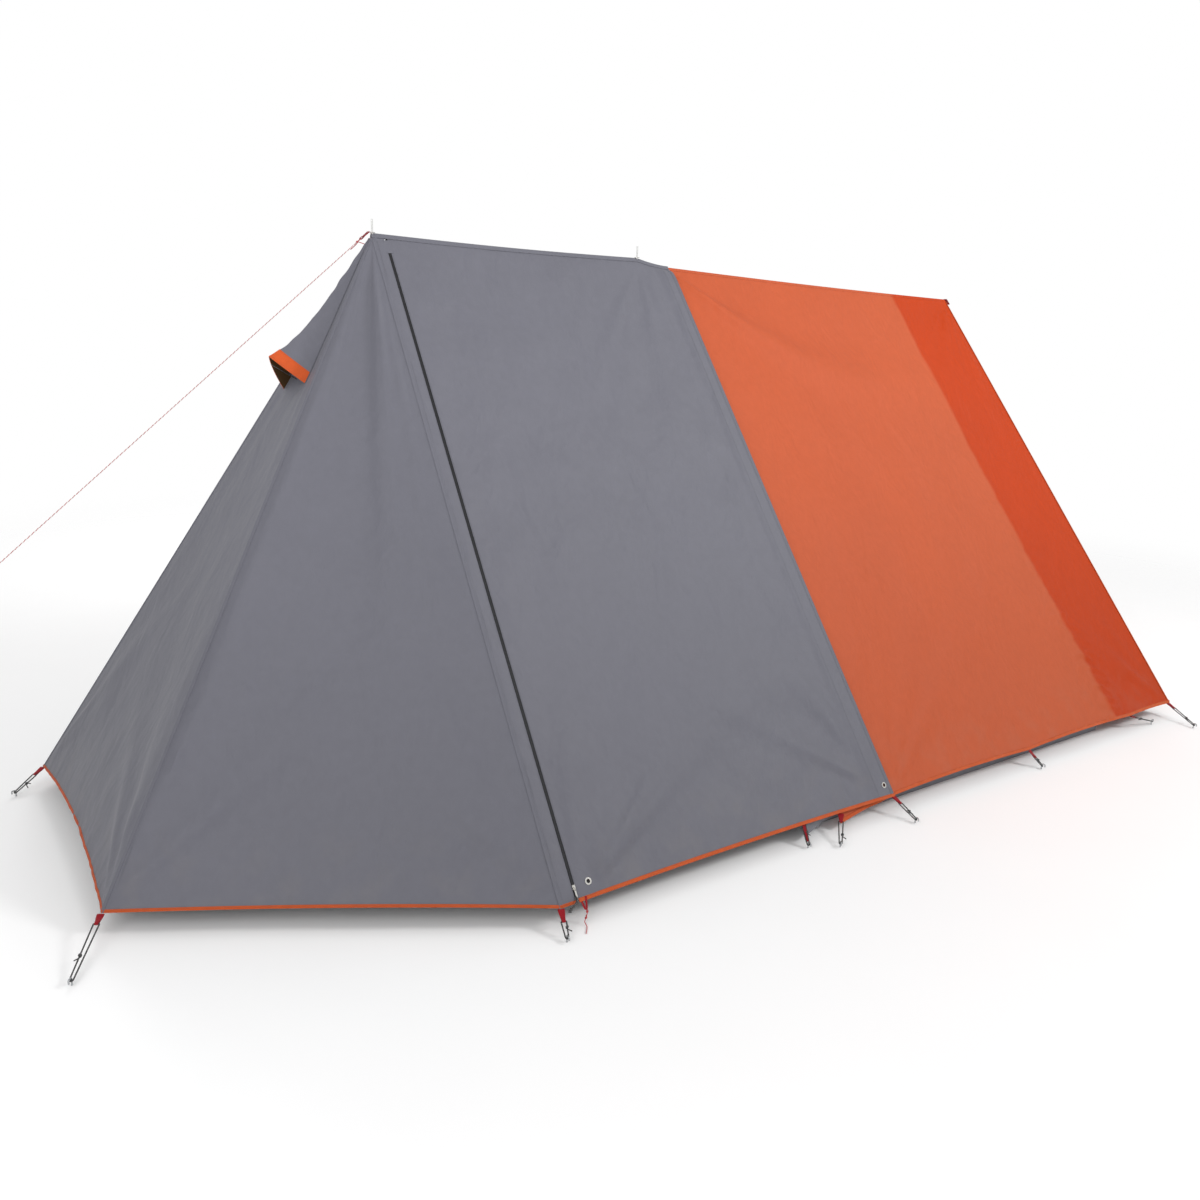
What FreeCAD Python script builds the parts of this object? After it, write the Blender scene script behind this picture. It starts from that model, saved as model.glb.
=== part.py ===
import FreeCAD, Part
import os
from math import asin, degrees, hypot, sqrt

# Ridge tent on three upright poles: a grey porch with lifting side doors in front, an orange sleeping
# cabin with an inner tent behind. X runs along the ridge towards the rear, -Y is the near side, Z is up.
# The origin is on the ground, half way between the front hem and the rear hem.
# Every size is in millimetres. A "station" is a distance rearwards from the front hem.

# Overall sizes
LENGTH = 3950.0
WIDTH = 2100.0
RIDGE = 1700.0
REAR_RIDGE = 1650.0
HEM = 60.0
FABRIC = 1.0
FOLD_GAP = 2.5          # a panel stops this far short of a fold it shares with another panel

# Stations of the poles, and the half width of the front hem
FRONT_POLE = 925.0
MID_POLE = 1880.0
REAR_APEX = 3555.0      # the cabin fly's rear end at the ridge
REAR_POLE = 3540.0
FRONT_HALF_WIDTH = 495.0
FRONT_HEM_RISE = 35.0   # the front hem arches up by this much at its middle

# Lines down the roof slope: (station at the ridge, station at the hem)
FOLD = (925.0, 950.0)
FRONT_ZIP = (963.0, 1000.0)
REAR_ZIP = (2000.0, 2165.0)
SEAM = (2015.0, 2205.0)
CABIN_FRONT = (1892.0, 1969.0)

# Doors
TAPE_DOWN = 35.0        # ridge tape's reach down each slope
DOOR_TOP = 38.0
ZIP_TOP = 60.0
ZIP_FOOT_GAP = 14.0
ZIP_TAPE = 14.0
ZIP_COIL = 2.6
ZIP_PARTING = 0.25      # each coil's distance from the zip's centre line
ZIP_EDGE = 5.0          # fabric edge's distance from the zip's centre line
SLIDER_LENGTH = 12.0
SLIDER_HALF_WIDTH = 4.4
SLIDER_OUT = (0.6, 1.8)  # bottom and top of the slider's plate, out from the door
LUG_OUT = 4.8
PIVOT_OUT = 3.6
PIVOT_RADIUS = 0.6
PULLER_LENGTH = 26.0
FLAP_LIFT = 5.5
FLAP_REACH = 20.0
BINDING = 14.0
CABIN_GAP = 4.0         # the cabin fly lies this far inside the plane of the doors
EYELET_BORE = 5.5
EYELET_RIM = 9.5
EYELET_UP = 42.0        # eyelet centres above the hem, up the slope
EYELET_FRONT = 45.0
EYELET_REAR = 32.0

# Vent on the front panel, measured down the panel from its apex and out from its surface
VENT_TOP = 30.0
VENT_FOOT = 480.0
VENT_HALF_WIDTH = 60.0
VENT_TIP = (457.0, 100.0)
VENT_RIM = 32.0
VENT_HOLE_TOP = 340.0
VENT_PROP = 80.0
VENT_PROP_HALF_WIDTH = 4.0

# Inner tent
INNER_FRONT = 1900.0
INNER_REAR = 3520.0
INNER_REAR_TOP = 3200.0
INNER_HALF_WIDTH = 980.0
INNER_TOP = 1590.0
INNER_TOP_HALF = 12.0
HOOK_STATIONS = (2050.0, 2600.0, 3150.0)
FLOOR = 2.0
TUB = 100.0
INNER_DOOR_RADIUS = 486.0
INNER_DOOR_CENTRE = 640.0
INNER_DOOR_SILL = 262.0
EAR_TIP = (1820.0, 1015.0, 92.0)  # station, half width and height that the tub's front corners are pulled to

# Poles
POLE_RADIUS = 8.0
POLE_BORE = 7.0
FERRULE_RADIUS = 6.95
FERRULE_LENGTH = 50.0
POLE_SECTIONS = 3
POLE_BELOW_RIDGE = 30.0
SPIKE_RADIUS = 2.5
SPIKE_SHANK_RADIUS = 3.0
SPIKE_SHOULDER = 6.0    # the shank ends this far above the ridge, and the thinner spike goes on
SPIKE_ABOVE_RIDGE = 40.0
FOOT_RADIUS = 11.0
FOOT_HEIGHT = 30.0
FOOT_SOLE = 4.0
SPIKE_HOLE = 4.0

# Pegs, webbing and cords. A stake is (hem station, hem half width, hem height, peg station, peg half width).
PEG_RADIUS = 2.0
PEG_DEPTH = 150.0
PEG_HEAD = 20.0
CORD_RADIUS = 1.5
CORD_STOP = 7.0         # a cord's end stops this far short of the middle of its peg
TAB_WIDTH = 15.0
TAB_LENGTH = 30.0
FRONT_CORNER_STAKE = (0.0, FRONT_HALF_WIDTH, HEM, -92.0, 667.0)
FAR_FRONT_CORNER_STAKE = (0.0, FRONT_HALF_WIDTH, HEM, -84.0, 442.0)
SIDE_STAKES = (
    (FOLD[1], WIDTH / 2, HEM, 934.0, 1104.0),
    (*EAR_TIP, 1803.0, 1073.0),
    (CABIN_FRONT[1], WIDTH / 2 - 5, HEM, 1891.0, 1119.0),
    (SEAM[1] + 6, WIDTH / 2 - 5, HEM, 2217.0, 1133.0),
    (2955.0, WIDTH / 2 - 5, HEM, 2968.0, 1092.0),
    (3645.0, WIDTH / 2 - 5, HEM, 3790.0, 1062.0),
    (LENGTH - 6, WIDTH / 2 - 6, HEM, 3905.0, 1172.0),
)
REAR_STAKE = (LENGTH, 0.0, HEM, 4040.0, 0.0)
GUY_PEG = -1017.0
GUY_RUNNER_DOWN = 1900.0

# Worked out from the sizes above
HALF = WIDTH / 2
RISE = RIDGE - HEM
SLOPE = hypot(RISE, HALF)
FRONT_SLOPE = hypot(RISE, FRONT_POLE)
NEAR = -1
FAR = 1
SIDES = (("near", NEAR), ("far", FAR))

Vec = FreeCAD.Vector
UP = Vec(0, 0, 1)
REARWARDS = Vec(1, 0, 0)


def at(station, y, z):
    return Vec(station - LENGTH / 2, y, z)


def unit(vector):
    return vector * (1 / vector.Length)


def save(node, *solids):
    shape = solids[0] if len(solids) == 1 else Part.makeCompound(list(solids))
    shape.exportStep("parts/" + node + ".step")


def roof_normal(side):
    return Vec(0, side * RISE / SLOPE, HALF / SLOPE)


def roof(side, station, down, out=0.0):
    """A point on the roof plane of one side, `down` the slope from the ridge and `out` from the plane."""
    return at(station, side * HALF * down / SLOPE, RIDGE - RISE * down / SLOPE) + roof_normal(side) * out


def on_line(line, down):
    return line[0] + (line[1] - line[0]) * down / SLOPE


def sheet(points, normal, out=0.0, thickness=FABRIC, inset=0.0):
    """A flat sheet whose outer face is the polygon moved `out` along its normal."""
    face = Part.Face(Part.makePolygon(list(points) + [points[0]]))
    if inset:
        face = face.makeOffset2D(-inset, 2)
    face.translate(normal * out)
    return face.extrude(normal * -thickness)


def strip(start, end, normal, across, low, high, out, thickness):
    """A flat strip from start to end, between `low` and `high` in the direction `across`."""
    along = unit(end - start)
    side = unit(across - along * across.dot(along) - normal * across.dot(normal))
    corners = (start + side * low, end + side * low, end + side * high, start + side * high)
    return sheet(corners, normal, out, thickness)


def rod(start, end, radius):
    return Part.makeCylinder(radius, (end - start).Length, start, end - start)


def spike_hole(station):
    low = RIDGE - SPIKE_ABOVE_RIDGE * 1.5
    return Part.makeCylinder(SPIKE_HOLE, 2 * SPIKE_ABOVE_RIDGE, at(station, 0, low))


def ring(centre, axis, inner, outer, height):
    return Part.makeCylinder(outer, height, centre, axis).cut(Part.makeCylinder(inner, height, centre, axis))


# The fly's front: one sloping panel with an arched hem and two triangular side panels

FRONT_APEX = at(FRONT_POLE, 0, RIDGE)
FRONT_DOWN = unit(at(0, 0, HEM) - FRONT_APEX)
FRONT_NORMAL = Vec(FRONT_DOWN.z, 0, -FRONT_DOWN.x)


def front(down, y=0.0, out=0.0):
    """A point on the front panel, `down` from its apex."""
    return FRONT_APEX + FRONT_DOWN * down + Vec(0, y, 0) + FRONT_NORMAL * out


def front_face():
    near = front(FRONT_SLOPE, -FRONT_HALF_WIDTH)
    far = front(FRONT_SLOPE, FRONT_HALF_WIDTH)
    hem = Part.Arc(near, front(FRONT_SLOPE - FRONT_HEM_RISE), far).toShape()
    edges = [Part.makeLine(FRONT_APEX, near), hem, Part.makeLine(far, FRONT_APEX)]
    return Part.Face(Part.Wire(edges)).makeOffset2D(-FOLD_GAP, 2)


def vent_hole(margin):
    top = VENT_HOLE_TOP - margin
    foot = VENT_FOOT - 12 + margin
    half_top = 12 + margin
    half_foot = 42 + margin
    return [front(top, -half_top), front(foot, -half_foot), front(foot, half_foot), front(top, half_top)]


def make_front():
    face = front_face()
    panel = face.extrude(FRONT_NORMAL * -FABRIC)
    opening = sheet(vent_hole(0.0), FRONT_NORMAL, 5.0, 10.0)
    save("front_panel", panel.cut(opening).cut(spike_hole(FRONT_POLE)))

    shifted = face.translated(FRONT_DOWN * -BINDING)
    bindings = [face.cut(shifted).translated(FRONT_NORMAL * 0.3).extrude(FRONT_NORMAL * 0.7)]
    for name, side in SIDES:
        fold_foot = roof(side, FOLD[1], SLOPE)
        front_foot = at(0, side * FRONT_HALF_WIDTH, HEM)
        normal = unit((fold_foot - FRONT_APEX).cross(front_foot - FRONT_APEX)) * side
        triangle = sheet((FRONT_APEX, fold_foot, front_foot), normal, inset=FOLD_GAP)
        save("front_side_" + name, triangle.cut(spike_hole(FRONT_POLE)))
        along = unit(fold_foot - front_foot)
        hem_start = front_foot + along * 12
        hem_end = fold_foot - along * 12
        bindings.append(strip(hem_start, hem_end, normal, UP, FOLD_GAP, FOLD_GAP + BINDING, 1.0, 0.7))
    save("front_binding", *bindings)


def make_ridge_tape():
    """Grey tape folded over the ridge from the front pole to the cabin, with a hole for each spike."""
    start = FRONT_POLE + 6
    low = at(start, 0, 0).x
    inner = 0.3
    outer = 1.3
    peak = SLOPE / HALF
    profile = [Vec(low, 0, RIDGE + outer * peak)]
    for side, offsets in ((FAR, (outer, inner)), (NEAR, (inner, outer))):
        if side == NEAR:
            profile.append(Vec(low, 0, RIDGE + inner * peak))
        for offset in offsets:
            point = roof(side, start, TAPE_DOWN, offset)
            profile.append(Vec(low, point.y, point.z))
    tape = Part.Face(Part.makePolygon(profile + [profile[0]])).extrude(REARWARDS * (SEAM[0] - start))
    save("ridge_tape", tape.cut(spike_hole(MID_POLE)))


# The lifting doors with their zips, one each side

def make_facing(name, side):
    """The narrow strip between the front fold and the front zip."""
    corners = (
        roof(side, on_line(FOLD, DOOR_TOP) + FOLD_GAP, DOOR_TOP),
        roof(side, on_line(FOLD, SLOPE) + FOLD_GAP, SLOPE),
        roof(side, on_line(FRONT_ZIP, SLOPE) - ZIP_EDGE, SLOPE),
        roof(side, on_line(FRONT_ZIP, DOOR_TOP) - ZIP_EDGE, DOOR_TOP),
    )
    save("zip_facing_" + name, sheet(corners, roof_normal(side)))


def eyelet(side, station, lift):
    normal = roof_normal(side)
    centre = roof(side, station, SLOPE - EYELET_UP, lift)
    outer_flange = ring(centre + normal * 0.1, normal, EYELET_BORE, EYELET_RIM, 1.2)
    neck = ring(centre - normal * 1.2, normal, EYELET_BORE, EYELET_BORE + 0.5, 2.0)
    inner_flange = ring(centre - normal * 2.0, normal, EYELET_BORE, EYELET_RIM, 0.9)
    return outer_flange.fuse(neck).fuse(inner_flange).removeSplitter()


def eyelet_hole(side, station, lift):
    normal = roof_normal(side)
    return Part.makeCylinder(EYELET_BORE + 0.7, 6, roof(side, station, SLOPE - EYELET_UP, lift - 3), normal)


def make_door(name, side):
    normal = roof_normal(side)
    front_eyelet = FRONT_ZIP[1] + EYELET_FRONT
    rear_eyelet = SEAM[1] - EYELET_REAR
    panel = sheet((
        roof(side, on_line(FRONT_ZIP, DOOR_TOP) + ZIP_EDGE, DOOR_TOP),
        roof(side, on_line(FRONT_ZIP, SLOPE) + ZIP_EDGE, SLOPE),
        roof(side, on_line(REAR_ZIP, SLOPE) - ZIP_EDGE, SLOPE),
        roof(side, on_line(REAR_ZIP, DOOR_TOP) - ZIP_EDGE, DOOR_TOP),
    ), normal)
    save("door_" + name, panel.cut(eyelet_hole(side, front_eyelet, 0.0)))

    hem_start = roof(side, on_line(FRONT_ZIP, SLOPE) + ZIP_EDGE, SLOPE)
    hem_end = roof(side, on_line(REAR_ZIP, SLOPE) - FLAP_REACH - 2, SLOPE)
    save("door_binding_" + name, strip(hem_start, hem_end, normal, UP, 0.0, BINDING, 1.0, 0.7))

    lift = FLAP_LIFT + FABRIC
    cover = sheet((
        roof(side, on_line(REAR_ZIP, DOOR_TOP) - FLAP_REACH, DOOR_TOP),
        roof(side, on_line(REAR_ZIP, SLOPE) - FLAP_REACH, SLOPE),
        roof(side, on_line(SEAM, SLOPE), SLOPE),
        roof(side, on_line(SEAM, DOOR_TOP), DOOR_TOP),
    ), normal, lift)
    sewn_start = roof(side, on_line(REAR_ZIP, DOOR_TOP), DOOR_TOP)
    sewn_end = roof(side, on_line(REAR_ZIP, SLOPE), SLOPE)
    sewn_edge = strip(sewn_start, sewn_end, normal, REARWARDS, -FLAP_REACH + 0.2, -FLAP_REACH + 1.4,
                      lift - 0.1, lift - 0.3)
    flap = cover.fuse(sewn_edge).removeSplitter()
    save("rear_flap_" + name, flap.cut(eyelet_hole(side, rear_eyelet, lift)))
    save("door_eyelets_" + name, eyelet(side, front_eyelet, 0.0), eyelet(side, rear_eyelet, lift))


def zip_ends(line, side):
    return (roof(side, on_line(line, ZIP_TOP), ZIP_TOP),
            roof(side, on_line(line, SLOPE - ZIP_FOOT_GAP), SLOPE - ZIP_FOOT_GAP))


def zip_half(line, side, direction):
    """Tape with its coil; direction is +1 for the half behind the centre line and -1 for the one in front."""
    start, end = zip_ends(line, side)
    normal = roof_normal(side)
    across = REARWARDS * direction
    tape = strip(start, end, normal, across, ZIP_PARTING, ZIP_TAPE, -1.3, 0.7)
    coil = strip(start, end, normal, across, ZIP_PARTING, ZIP_COIL, 0.4, 1.9)
    return tape.fuse(coil).removeSplitter()


def make_slider(node, line, side, puller_node):
    """A slider parked at the foot of its zip, with a forked puller on a cross pin through its lug."""
    start, end = zip_ends(line, side)
    down = unit(end - start)
    normal = roof_normal(side)
    across = unit(REARWARDS - down * REARWARDS.dot(down))
    low = end - down * (SLIDER_LENGTH + PULLER_LENGTH - 8)
    high = low + down * SLIDER_LENGTH
    body = strip(low, high, normal, across, -SLIDER_HALF_WIDTH, SLIDER_HALF_WIDTH, SLIDER_OUT[1],
                 SLIDER_OUT[1] - SLIDER_OUT[0])
    middle = (low + high) * 0.5
    lug = strip(middle - down * 2, middle + down * 2, normal, across, -0.6, 0.6, LUG_OUT, LUG_OUT - 1.5)
    pivot = middle + normal * PIVOT_OUT
    pin_hole = rod(pivot - across * 2, pivot + across * 2, PIVOT_RADIUS + 0.1)
    slider = body.fuse(lug).removeSplitter().cut(pin_hole)

    pin = rod(pivot - across * 2.4, pivot + across * 2.4, PIVOT_RADIUS)
    reach = pivot + down * PULLER_LENGTH
    arms = [strip(pivot - down * PIVOT_RADIUS, reach, normal, across, edge, edge + 1.4, 0.5, 1.0)
            for edge in (-2.4, 1.0)]
    tag = strip(pivot + down * 9, reach, normal, across, -2.4, 2.4, 0.5, 1.0)
    puller = pin.fuse(arms).fuse(tag).removeSplitter()
    if puller_node:
        save(node, slider)
        save(puller_node, puller)
    else:
        save(node, slider, puller)


def make_zips(name, side):
    save("front_zip_fixed_" + name, zip_half(FRONT_ZIP, side, -1))
    save("front_zip_door_" + name, zip_half(FRONT_ZIP, side, 1))
    save("rear_zip_fixed_" + name, zip_half(REAR_ZIP, side, 1))
    save("rear_zip_door_" + name, zip_half(REAR_ZIP, side, -1))
    make_slider("front_slider_" + name, FRONT_ZIP, side, "front_puller_" + name)
    make_slider("rear_slider_" + name, REAR_ZIP, side, None)


# The cabin fly: two slightly twisted roof panels and a flat rear triangle

CABIN_RIDGE = RIDGE - CABIN_GAP * SLOPE / HALF
CABIN_HALF = HALF - CABIN_GAP * SLOPE / RISE


def make_cabin(name, side):
    top_y = side * 1.35
    hem_y = side * CABIN_HALF
    inwards = roof_normal(side) * -FABRIC
    edges = (
        (at(CABIN_FRONT[0], top_y, CABIN_RIDGE - 2), at(CABIN_FRONT[1], hem_y, HEM)),
        (at(REAR_APEX - FOLD_GAP, top_y, REAR_RIDGE - 2), at(LENGTH - FOLD_GAP, hem_y, HEM)),
    )
    sections = [Part.makePolygon([top, foot, foot + inwards, top + inwards, top]) for top, foot in edges]
    panel = Part.makeLoft(sections, True, True)
    save("cabin_" + name, panel)


def make_rear():
    apex = at(REAR_APEX, 0, REAR_RIDGE)
    near = at(LENGTH, -CABIN_HALF, HEM)
    far = at(LENGTH, CABIN_HALF, HEM)
    normal = unit((near - apex).cross(far - apex))
    save("cabin_rear", sheet((apex, near, far), normal, inset=FOLD_GAP))


def make_ridge_eyelets():
    save("ridge_eyelets", *[ring(at(station, 0, RIDGE + 3), UP, SPIKE_SHANK_RADIUS + 0.3, EYELET_RIM - 1, 1.4)
                            for station in (FRONT_POLE, MID_POLE)])


# The vent: a hood standing out from the front panel, its rim, the mesh behind it and a folding prop

def make_vent():
    top = front(VENT_TOP, 0, 1.0)
    tip = front(VENT_TIP[0], 0, VENT_TIP[1])
    halves = []
    rims = []
    for _, side in SIDES:
        corner = front(VENT_FOOT, side * VENT_HALF_WIDTH, 1.0)
        normal = unit((corner - top).cross(tip - top)) * -side
        halves.append(sheet((top, corner, tip), normal, inset=1.6))
        edge = unit(tip - corner)
        uphill = FRONT_DOWN * -1
        rims.append(strip(corner + edge * 12, tip - edge * 9, normal, uphill, 2.0, VENT_RIM, 0.9, 0.6))
    save("vent_hood", *halves)
    save("vent_rim", *rims)
    save("vent_mesh", sheet(vent_hole(8.0), FRONT_NORMAL, -1.3, 0.6))
    hinge = front(VENT_FOOT - 5, 0, 4.0)
    leaf = strip(hinge, hinge + FRONT_NORMAL * VENT_PROP, FRONT_DOWN, Vec(0, 1, 0),
                 -VENT_PROP_HALF_WIDTH, VENT_PROP_HALF_WIDTH, 0.75, 1.5)
    save("vent_prop", leaf)


# The inner tent: floor, tub walls, four walls and a round door that drops inwards on its sill

def disc(station, radius, thickness):
    return Part.makeCylinder(radius, thickness, at(station, 0, INNER_DOOR_CENTRE), REARWARDS)


def above(z):
    return Part.makeBox(200, 4 * HALF, 4 * HALF, at(INNER_FRONT - 100, -2 * HALF, z))


def make_inner_tent():
    length = INNER_REAR - INNER_FRONT
    floor = Part.makeBox(length + 6, 2 * INNER_HALF_WIDTH, FLOOR, at(INNER_FRONT - 5, -INNER_HALF_WIDTH, 0))
    save("inner_floor", floor)

    base = FLOOR + 0.2
    height = TUB - base
    tub = [Part.makeBox(length - 4, FABRIC, height, at(INNER_FRONT + 2, y, base))
           for y in (-INNER_HALF_WIDTH, INNER_HALF_WIDTH - FABRIC)]
    tub += [Part.makeBox(FABRIC, 2 * INNER_HALF_WIDTH, height, at(station, -INNER_HALF_WIDTH, base))
            for station in (INNER_FRONT, INNER_REAR - FABRIC)]
    for _, side in SIDES:
        root = INNER_FRONT - FABRIC
        ear_half_width = side * (INNER_HALF_WIDTH - FABRIC)
        ear = (at(root, ear_half_width, base + 2), at(root, ear_half_width, TUB - 2),
               at(EAR_TIP[0], side * EAR_TIP[1], EAR_TIP[2]))
        tub.append(sheet(ear, unit((ear[1] - ear[0]).cross(ear[2] - ear[0])) * -side))
    save("tub_walls", *tub)

    foot = TUB + 1.2
    for name, side in SIDES:
        corners = (
            at(INNER_FRONT + 3, side * INNER_HALF_WIDTH, foot),
            at(INNER_REAR - 3, side * INNER_HALF_WIDTH, foot),
            at(INNER_REAR_TOP - 3, side * INNER_TOP_HALF, INNER_TOP),
            at(INNER_FRONT + 3, side * INNER_TOP_HALF, INNER_TOP),
        )
        normal = unit((corners[1] - corners[0]).cross(corners[3] - corners[0])) * -side
        save("inner_wall_" + name, sheet(corners, normal))

    wall_half = INNER_HALF_WIDTH - 3
    top_half = INNER_TOP_HALF - 3
    rear = (at(INNER_REAR, -wall_half, foot), at(INNER_REAR, wall_half, foot),
            at(INNER_REAR_TOP, top_half, INNER_TOP), at(INNER_REAR_TOP, -top_half, INNER_TOP))
    rear_normal = unit((rear[1] - rear[0]).cross(rear[3] - rear[0]))
    save("inner_wall_rear", sheet(rear, rear_normal))

    face = (at(INNER_FRONT, -INNER_HALF_WIDTH, foot), at(INNER_FRONT, INNER_HALF_WIDTH, foot),
            at(INNER_FRONT, INNER_TOP_HALF, INNER_TOP), at(INNER_FRONT, -INNER_TOP_HALF, INNER_TOP))
    wall = sheet(face, REARWARDS * -1)
    hole = disc(INNER_FRONT - 1, INNER_DOOR_RADIUS + 5, 3).common(above(INNER_DOOR_SILL - 1.5))
    save("inner_wall_front", wall.cut(hole))
    door = disc(INNER_FRONT, INNER_DOOR_RADIUS - 5, FABRIC).common(above(INNER_DOOR_SILL))
    save("inner_door", door)
    make_inner_zip()


def make_inner_zip():
    """Two curved zip halves in front of the wall and the door, and a slider at the near foot of the arc."""
    tape_station = INNER_FRONT - 1.1
    coil_station = INNER_FRONT - 1.7
    for node, sign in (("inner_zip_fixed", 1), ("inner_zip_door", -1)):
        radii = sorted((INNER_DOOR_RADIUS + 0.3 * sign, INNER_DOOR_RADIUS + ZIP_TAPE * sign))
        coil_radii = sorted((INNER_DOOR_RADIUS + 0.3 * sign, INNER_DOOR_RADIUS + ZIP_COIL * sign))
        tape = disc(tape_station, radii[1], 0.8).cut(disc(tape_station, radii[0], 0.8))
        coil = disc(coil_station, coil_radii[1], 1.4).cut(disc(coil_station, coil_radii[0], 1.4))
        save(node, tape.fuse(coil).removeSplitter().common(above(INNER_DOOR_SILL + 3)))
    plate = Part.makeBox(1.2, 2 * SLIDER_HALF_WIDTH, SLIDER_LENGTH,
                         at(INNER_FRONT - 3.1, -SLIDER_HALF_WIDTH, -SLIDER_LENGTH / 2))
    tag = Part.makeBox(1.2, 5, 24, at(INNER_FRONT - 4.3, -2.5, -20))
    slider = plate.fuse(tag).removeSplitter()
    drop = INNER_DOOR_CENTRE - INNER_DOOR_SILL - 32
    half_width = sqrt(INNER_DOOR_RADIUS ** 2 - drop ** 2)
    tilt = FreeCAD.Rotation(REARWARDS, degrees(asin(drop / INNER_DOOR_RADIUS)))
    slider.Placement = FreeCAD.Placement(Vec(0, 0, 0), tilt).multiply(slider.Placement)
    slider.translate(Vec(0, -half_width, INNER_DOOR_CENTRE - drop))
    save("inner_slider", slider)


def make_hooks():
    """Hooks and elastics that hang the inner tent from the ridge."""
    pieces = []
    for station in HOOK_STATIONS:
        low = at(station, 0, INNER_TOP + 16)
        pieces.append(ring(at(station, 3, INNER_TOP + 8), Vec(0, -1, 0), 4.0, 7.0, 6.0))
        pieces.append(rod(low, at(station, 0, REAR_RIDGE - 14), CORD_RADIUS))
    save("inner_hooks", *pieces)


# Poles: three tube sections each, with ferrules and a foot; a spike tops the front two and a cap the rear

def tube_section(station, low, high, ferrule):
    centre = at(station, 0, low)
    tube = ring(centre, UP, POLE_BORE, POLE_RADIUS, high - low)
    if ferrule:
        seat = Part.makeCylinder(POLE_BORE, 30, at(station, 0, high - 30))
        stub = Part.makeCylinder(FERRULE_RADIUS, FERRULE_LENGTH + 30, at(station, 0, high - 30))
        tube = tube.fuse(seat).fuse(stub).removeSplitter()
    return tube


def make_poles():
    feet = []
    spikes = []
    joint_gap = 0.2
    for name, station, ridge in (("front", FRONT_POLE, RIDGE), ("mid", MID_POLE, RIDGE),
                                 ("rear", REAR_POLE, REAR_RIDGE)):
        top = ridge - POLE_BELOW_RIDGE
        low = FOOT_SOLE + 0.2
        step = (top - low) / POLE_SECTIONS
        sections = []
        for index in range(POLE_SECTIONS):
            start = low + step * index
            sections.append(tube_section(station, start, start + step - joint_gap, index < POLE_SECTIONS - 1))
        save(name + "_pole", *sections)

        foot = Part.makeCylinder(FOOT_RADIUS, FOOT_HEIGHT, at(station, 0, 0))
        cup = Part.makeCylinder(POLE_RADIUS + 0.05, FOOT_HEIGHT, at(station, 0, FOOT_SOLE))
        feet.append(foot.cut(cup))
        plug = Part.makeCylinder(FERRULE_RADIUS, FERRULE_LENGTH, at(station, 0, top - FERRULE_LENGTH))
        collar = Part.makeCylinder(POLE_RADIUS, 3, at(station, 0, top))
        tip = plug.fuse(collar)
        if station == REAR_POLE:
            save("rear_pole_cap", tip.removeSplitter())
        else:
            shank = Part.makeCylinder(SPIKE_SHANK_RADIUS, ridge + SPIKE_SHOULDER - top, at(station, 0, top))
            spike = Part.makeCylinder(SPIKE_RADIUS, ridge + SPIKE_ABOVE_RIDGE - top, at(station, 0, top))
            spikes.append(tip.fuse([shank, spike]).removeSplitter())
    save("pole_feet", *feet)
    save("pole_spikes", *spikes)


# Pegs, webbing tabs, cords and the front guyline

def peg(foot, pull):
    """A peg driven upright at a point on the ground, its hooked head turned away from its cord."""
    away = unit(Vec(pull.x, pull.y, 0))
    top = foot + UP * PEG_HEAD
    shaft = rod(foot - UP * PEG_DEPTH, top, PEG_RADIUS)
    bend = rod(top - away * (PEG_RADIUS - 0.3), top + away * 14, PEG_RADIUS - 0.1)
    nose = rod(top + away * 12, top + away * 12 - UP * 9, PEG_RADIUS - 0.2)
    return shaft.fuse([bend, nose]).removeSplitter()


def stake(entry, side):
    """The webbing tab, cord and peg of one peg point."""
    station, half_width, height, peg_station, peg_half_width = entry
    hem = at(station, side * half_width, height)
    hook = at(peg_station, side * peg_half_width, PEG_HEAD - 6)
    pull = unit(hook - hem)
    start = hem + pull * 4 - UP * 3
    pull = unit(hook - start)
    level = unit(pull.cross(UP))
    normal = unit(level.cross(pull))
    tab_end = start + pull * TAB_LENGTH
    tab = strip(start, tab_end, normal, level, -TAB_WIDTH / 2, TAB_WIDTH / 2, 0.75, 1.5)
    cord = rod(tab_end + pull * 0.5, hook - pull * CORD_STOP, CORD_RADIUS)
    return tab, cord, peg(at(peg_station, side * peg_half_width, 0), pull)


def guy_line():
    """The front guyline's ends: the tab at the ridge and the hook of its peg."""
    return at(FRONT_POLE - 14, 0, RIDGE + 2), at(GUY_PEG, 0, PEG_HEAD - 6)


def make_ground_kit():
    kit = [stake(FRONT_CORNER_STAKE, NEAR), stake(FAR_FRONT_CORNER_STAKE, FAR), stake(REAR_STAKE, FAR)]
    kit += [stake(entry, side) for _, side in SIDES for entry in SIDE_STAKES]
    tabs, cords, pegs = [list(group) for group in zip(*kit)]

    start, end = guy_line()
    pull = unit(end - start)
    level = Vec(0, 1, 0)
    normal = pull.cross(level)
    half_tab = TAB_WIDTH / 2
    tabs.append(strip(start, start + pull * TAB_LENGTH, normal, level, -half_tab, half_tab, 0.75, 1.5))
    rear_tab = at(REAR_APEX + 8, 0, REAR_RIDGE)
    drop = unit(Vec(1, 0, -0.7))
    rear_end = rear_tab + drop * TAB_LENGTH
    tabs.append(strip(rear_tab, rear_end, drop.cross(level), level, -half_tab, half_tab, 0.75, 1.5))
    pegs.append(peg(at(GUY_PEG, 0, 0), pull))
    save("webbing_tabs", *tabs)
    save("elastic_cords", *cords)
    save("pegs", *pegs)
    line_start = start + pull * (TAB_LENGTH + 0.5)
    save("front_guyline", rod(line_start, end - pull * CORD_STOP, CORD_RADIUS))

    middle = start + pull * GUY_RUNNER_DOWN
    plate = strip(middle - pull * 16, middle + pull * 16, normal, level, -6, 6, 3.2, 6.4)
    save("guyline_runner", plate.cut(rod(middle - pull * 20, middle + pull * 20, CORD_RADIUS + 0.06)))


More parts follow.
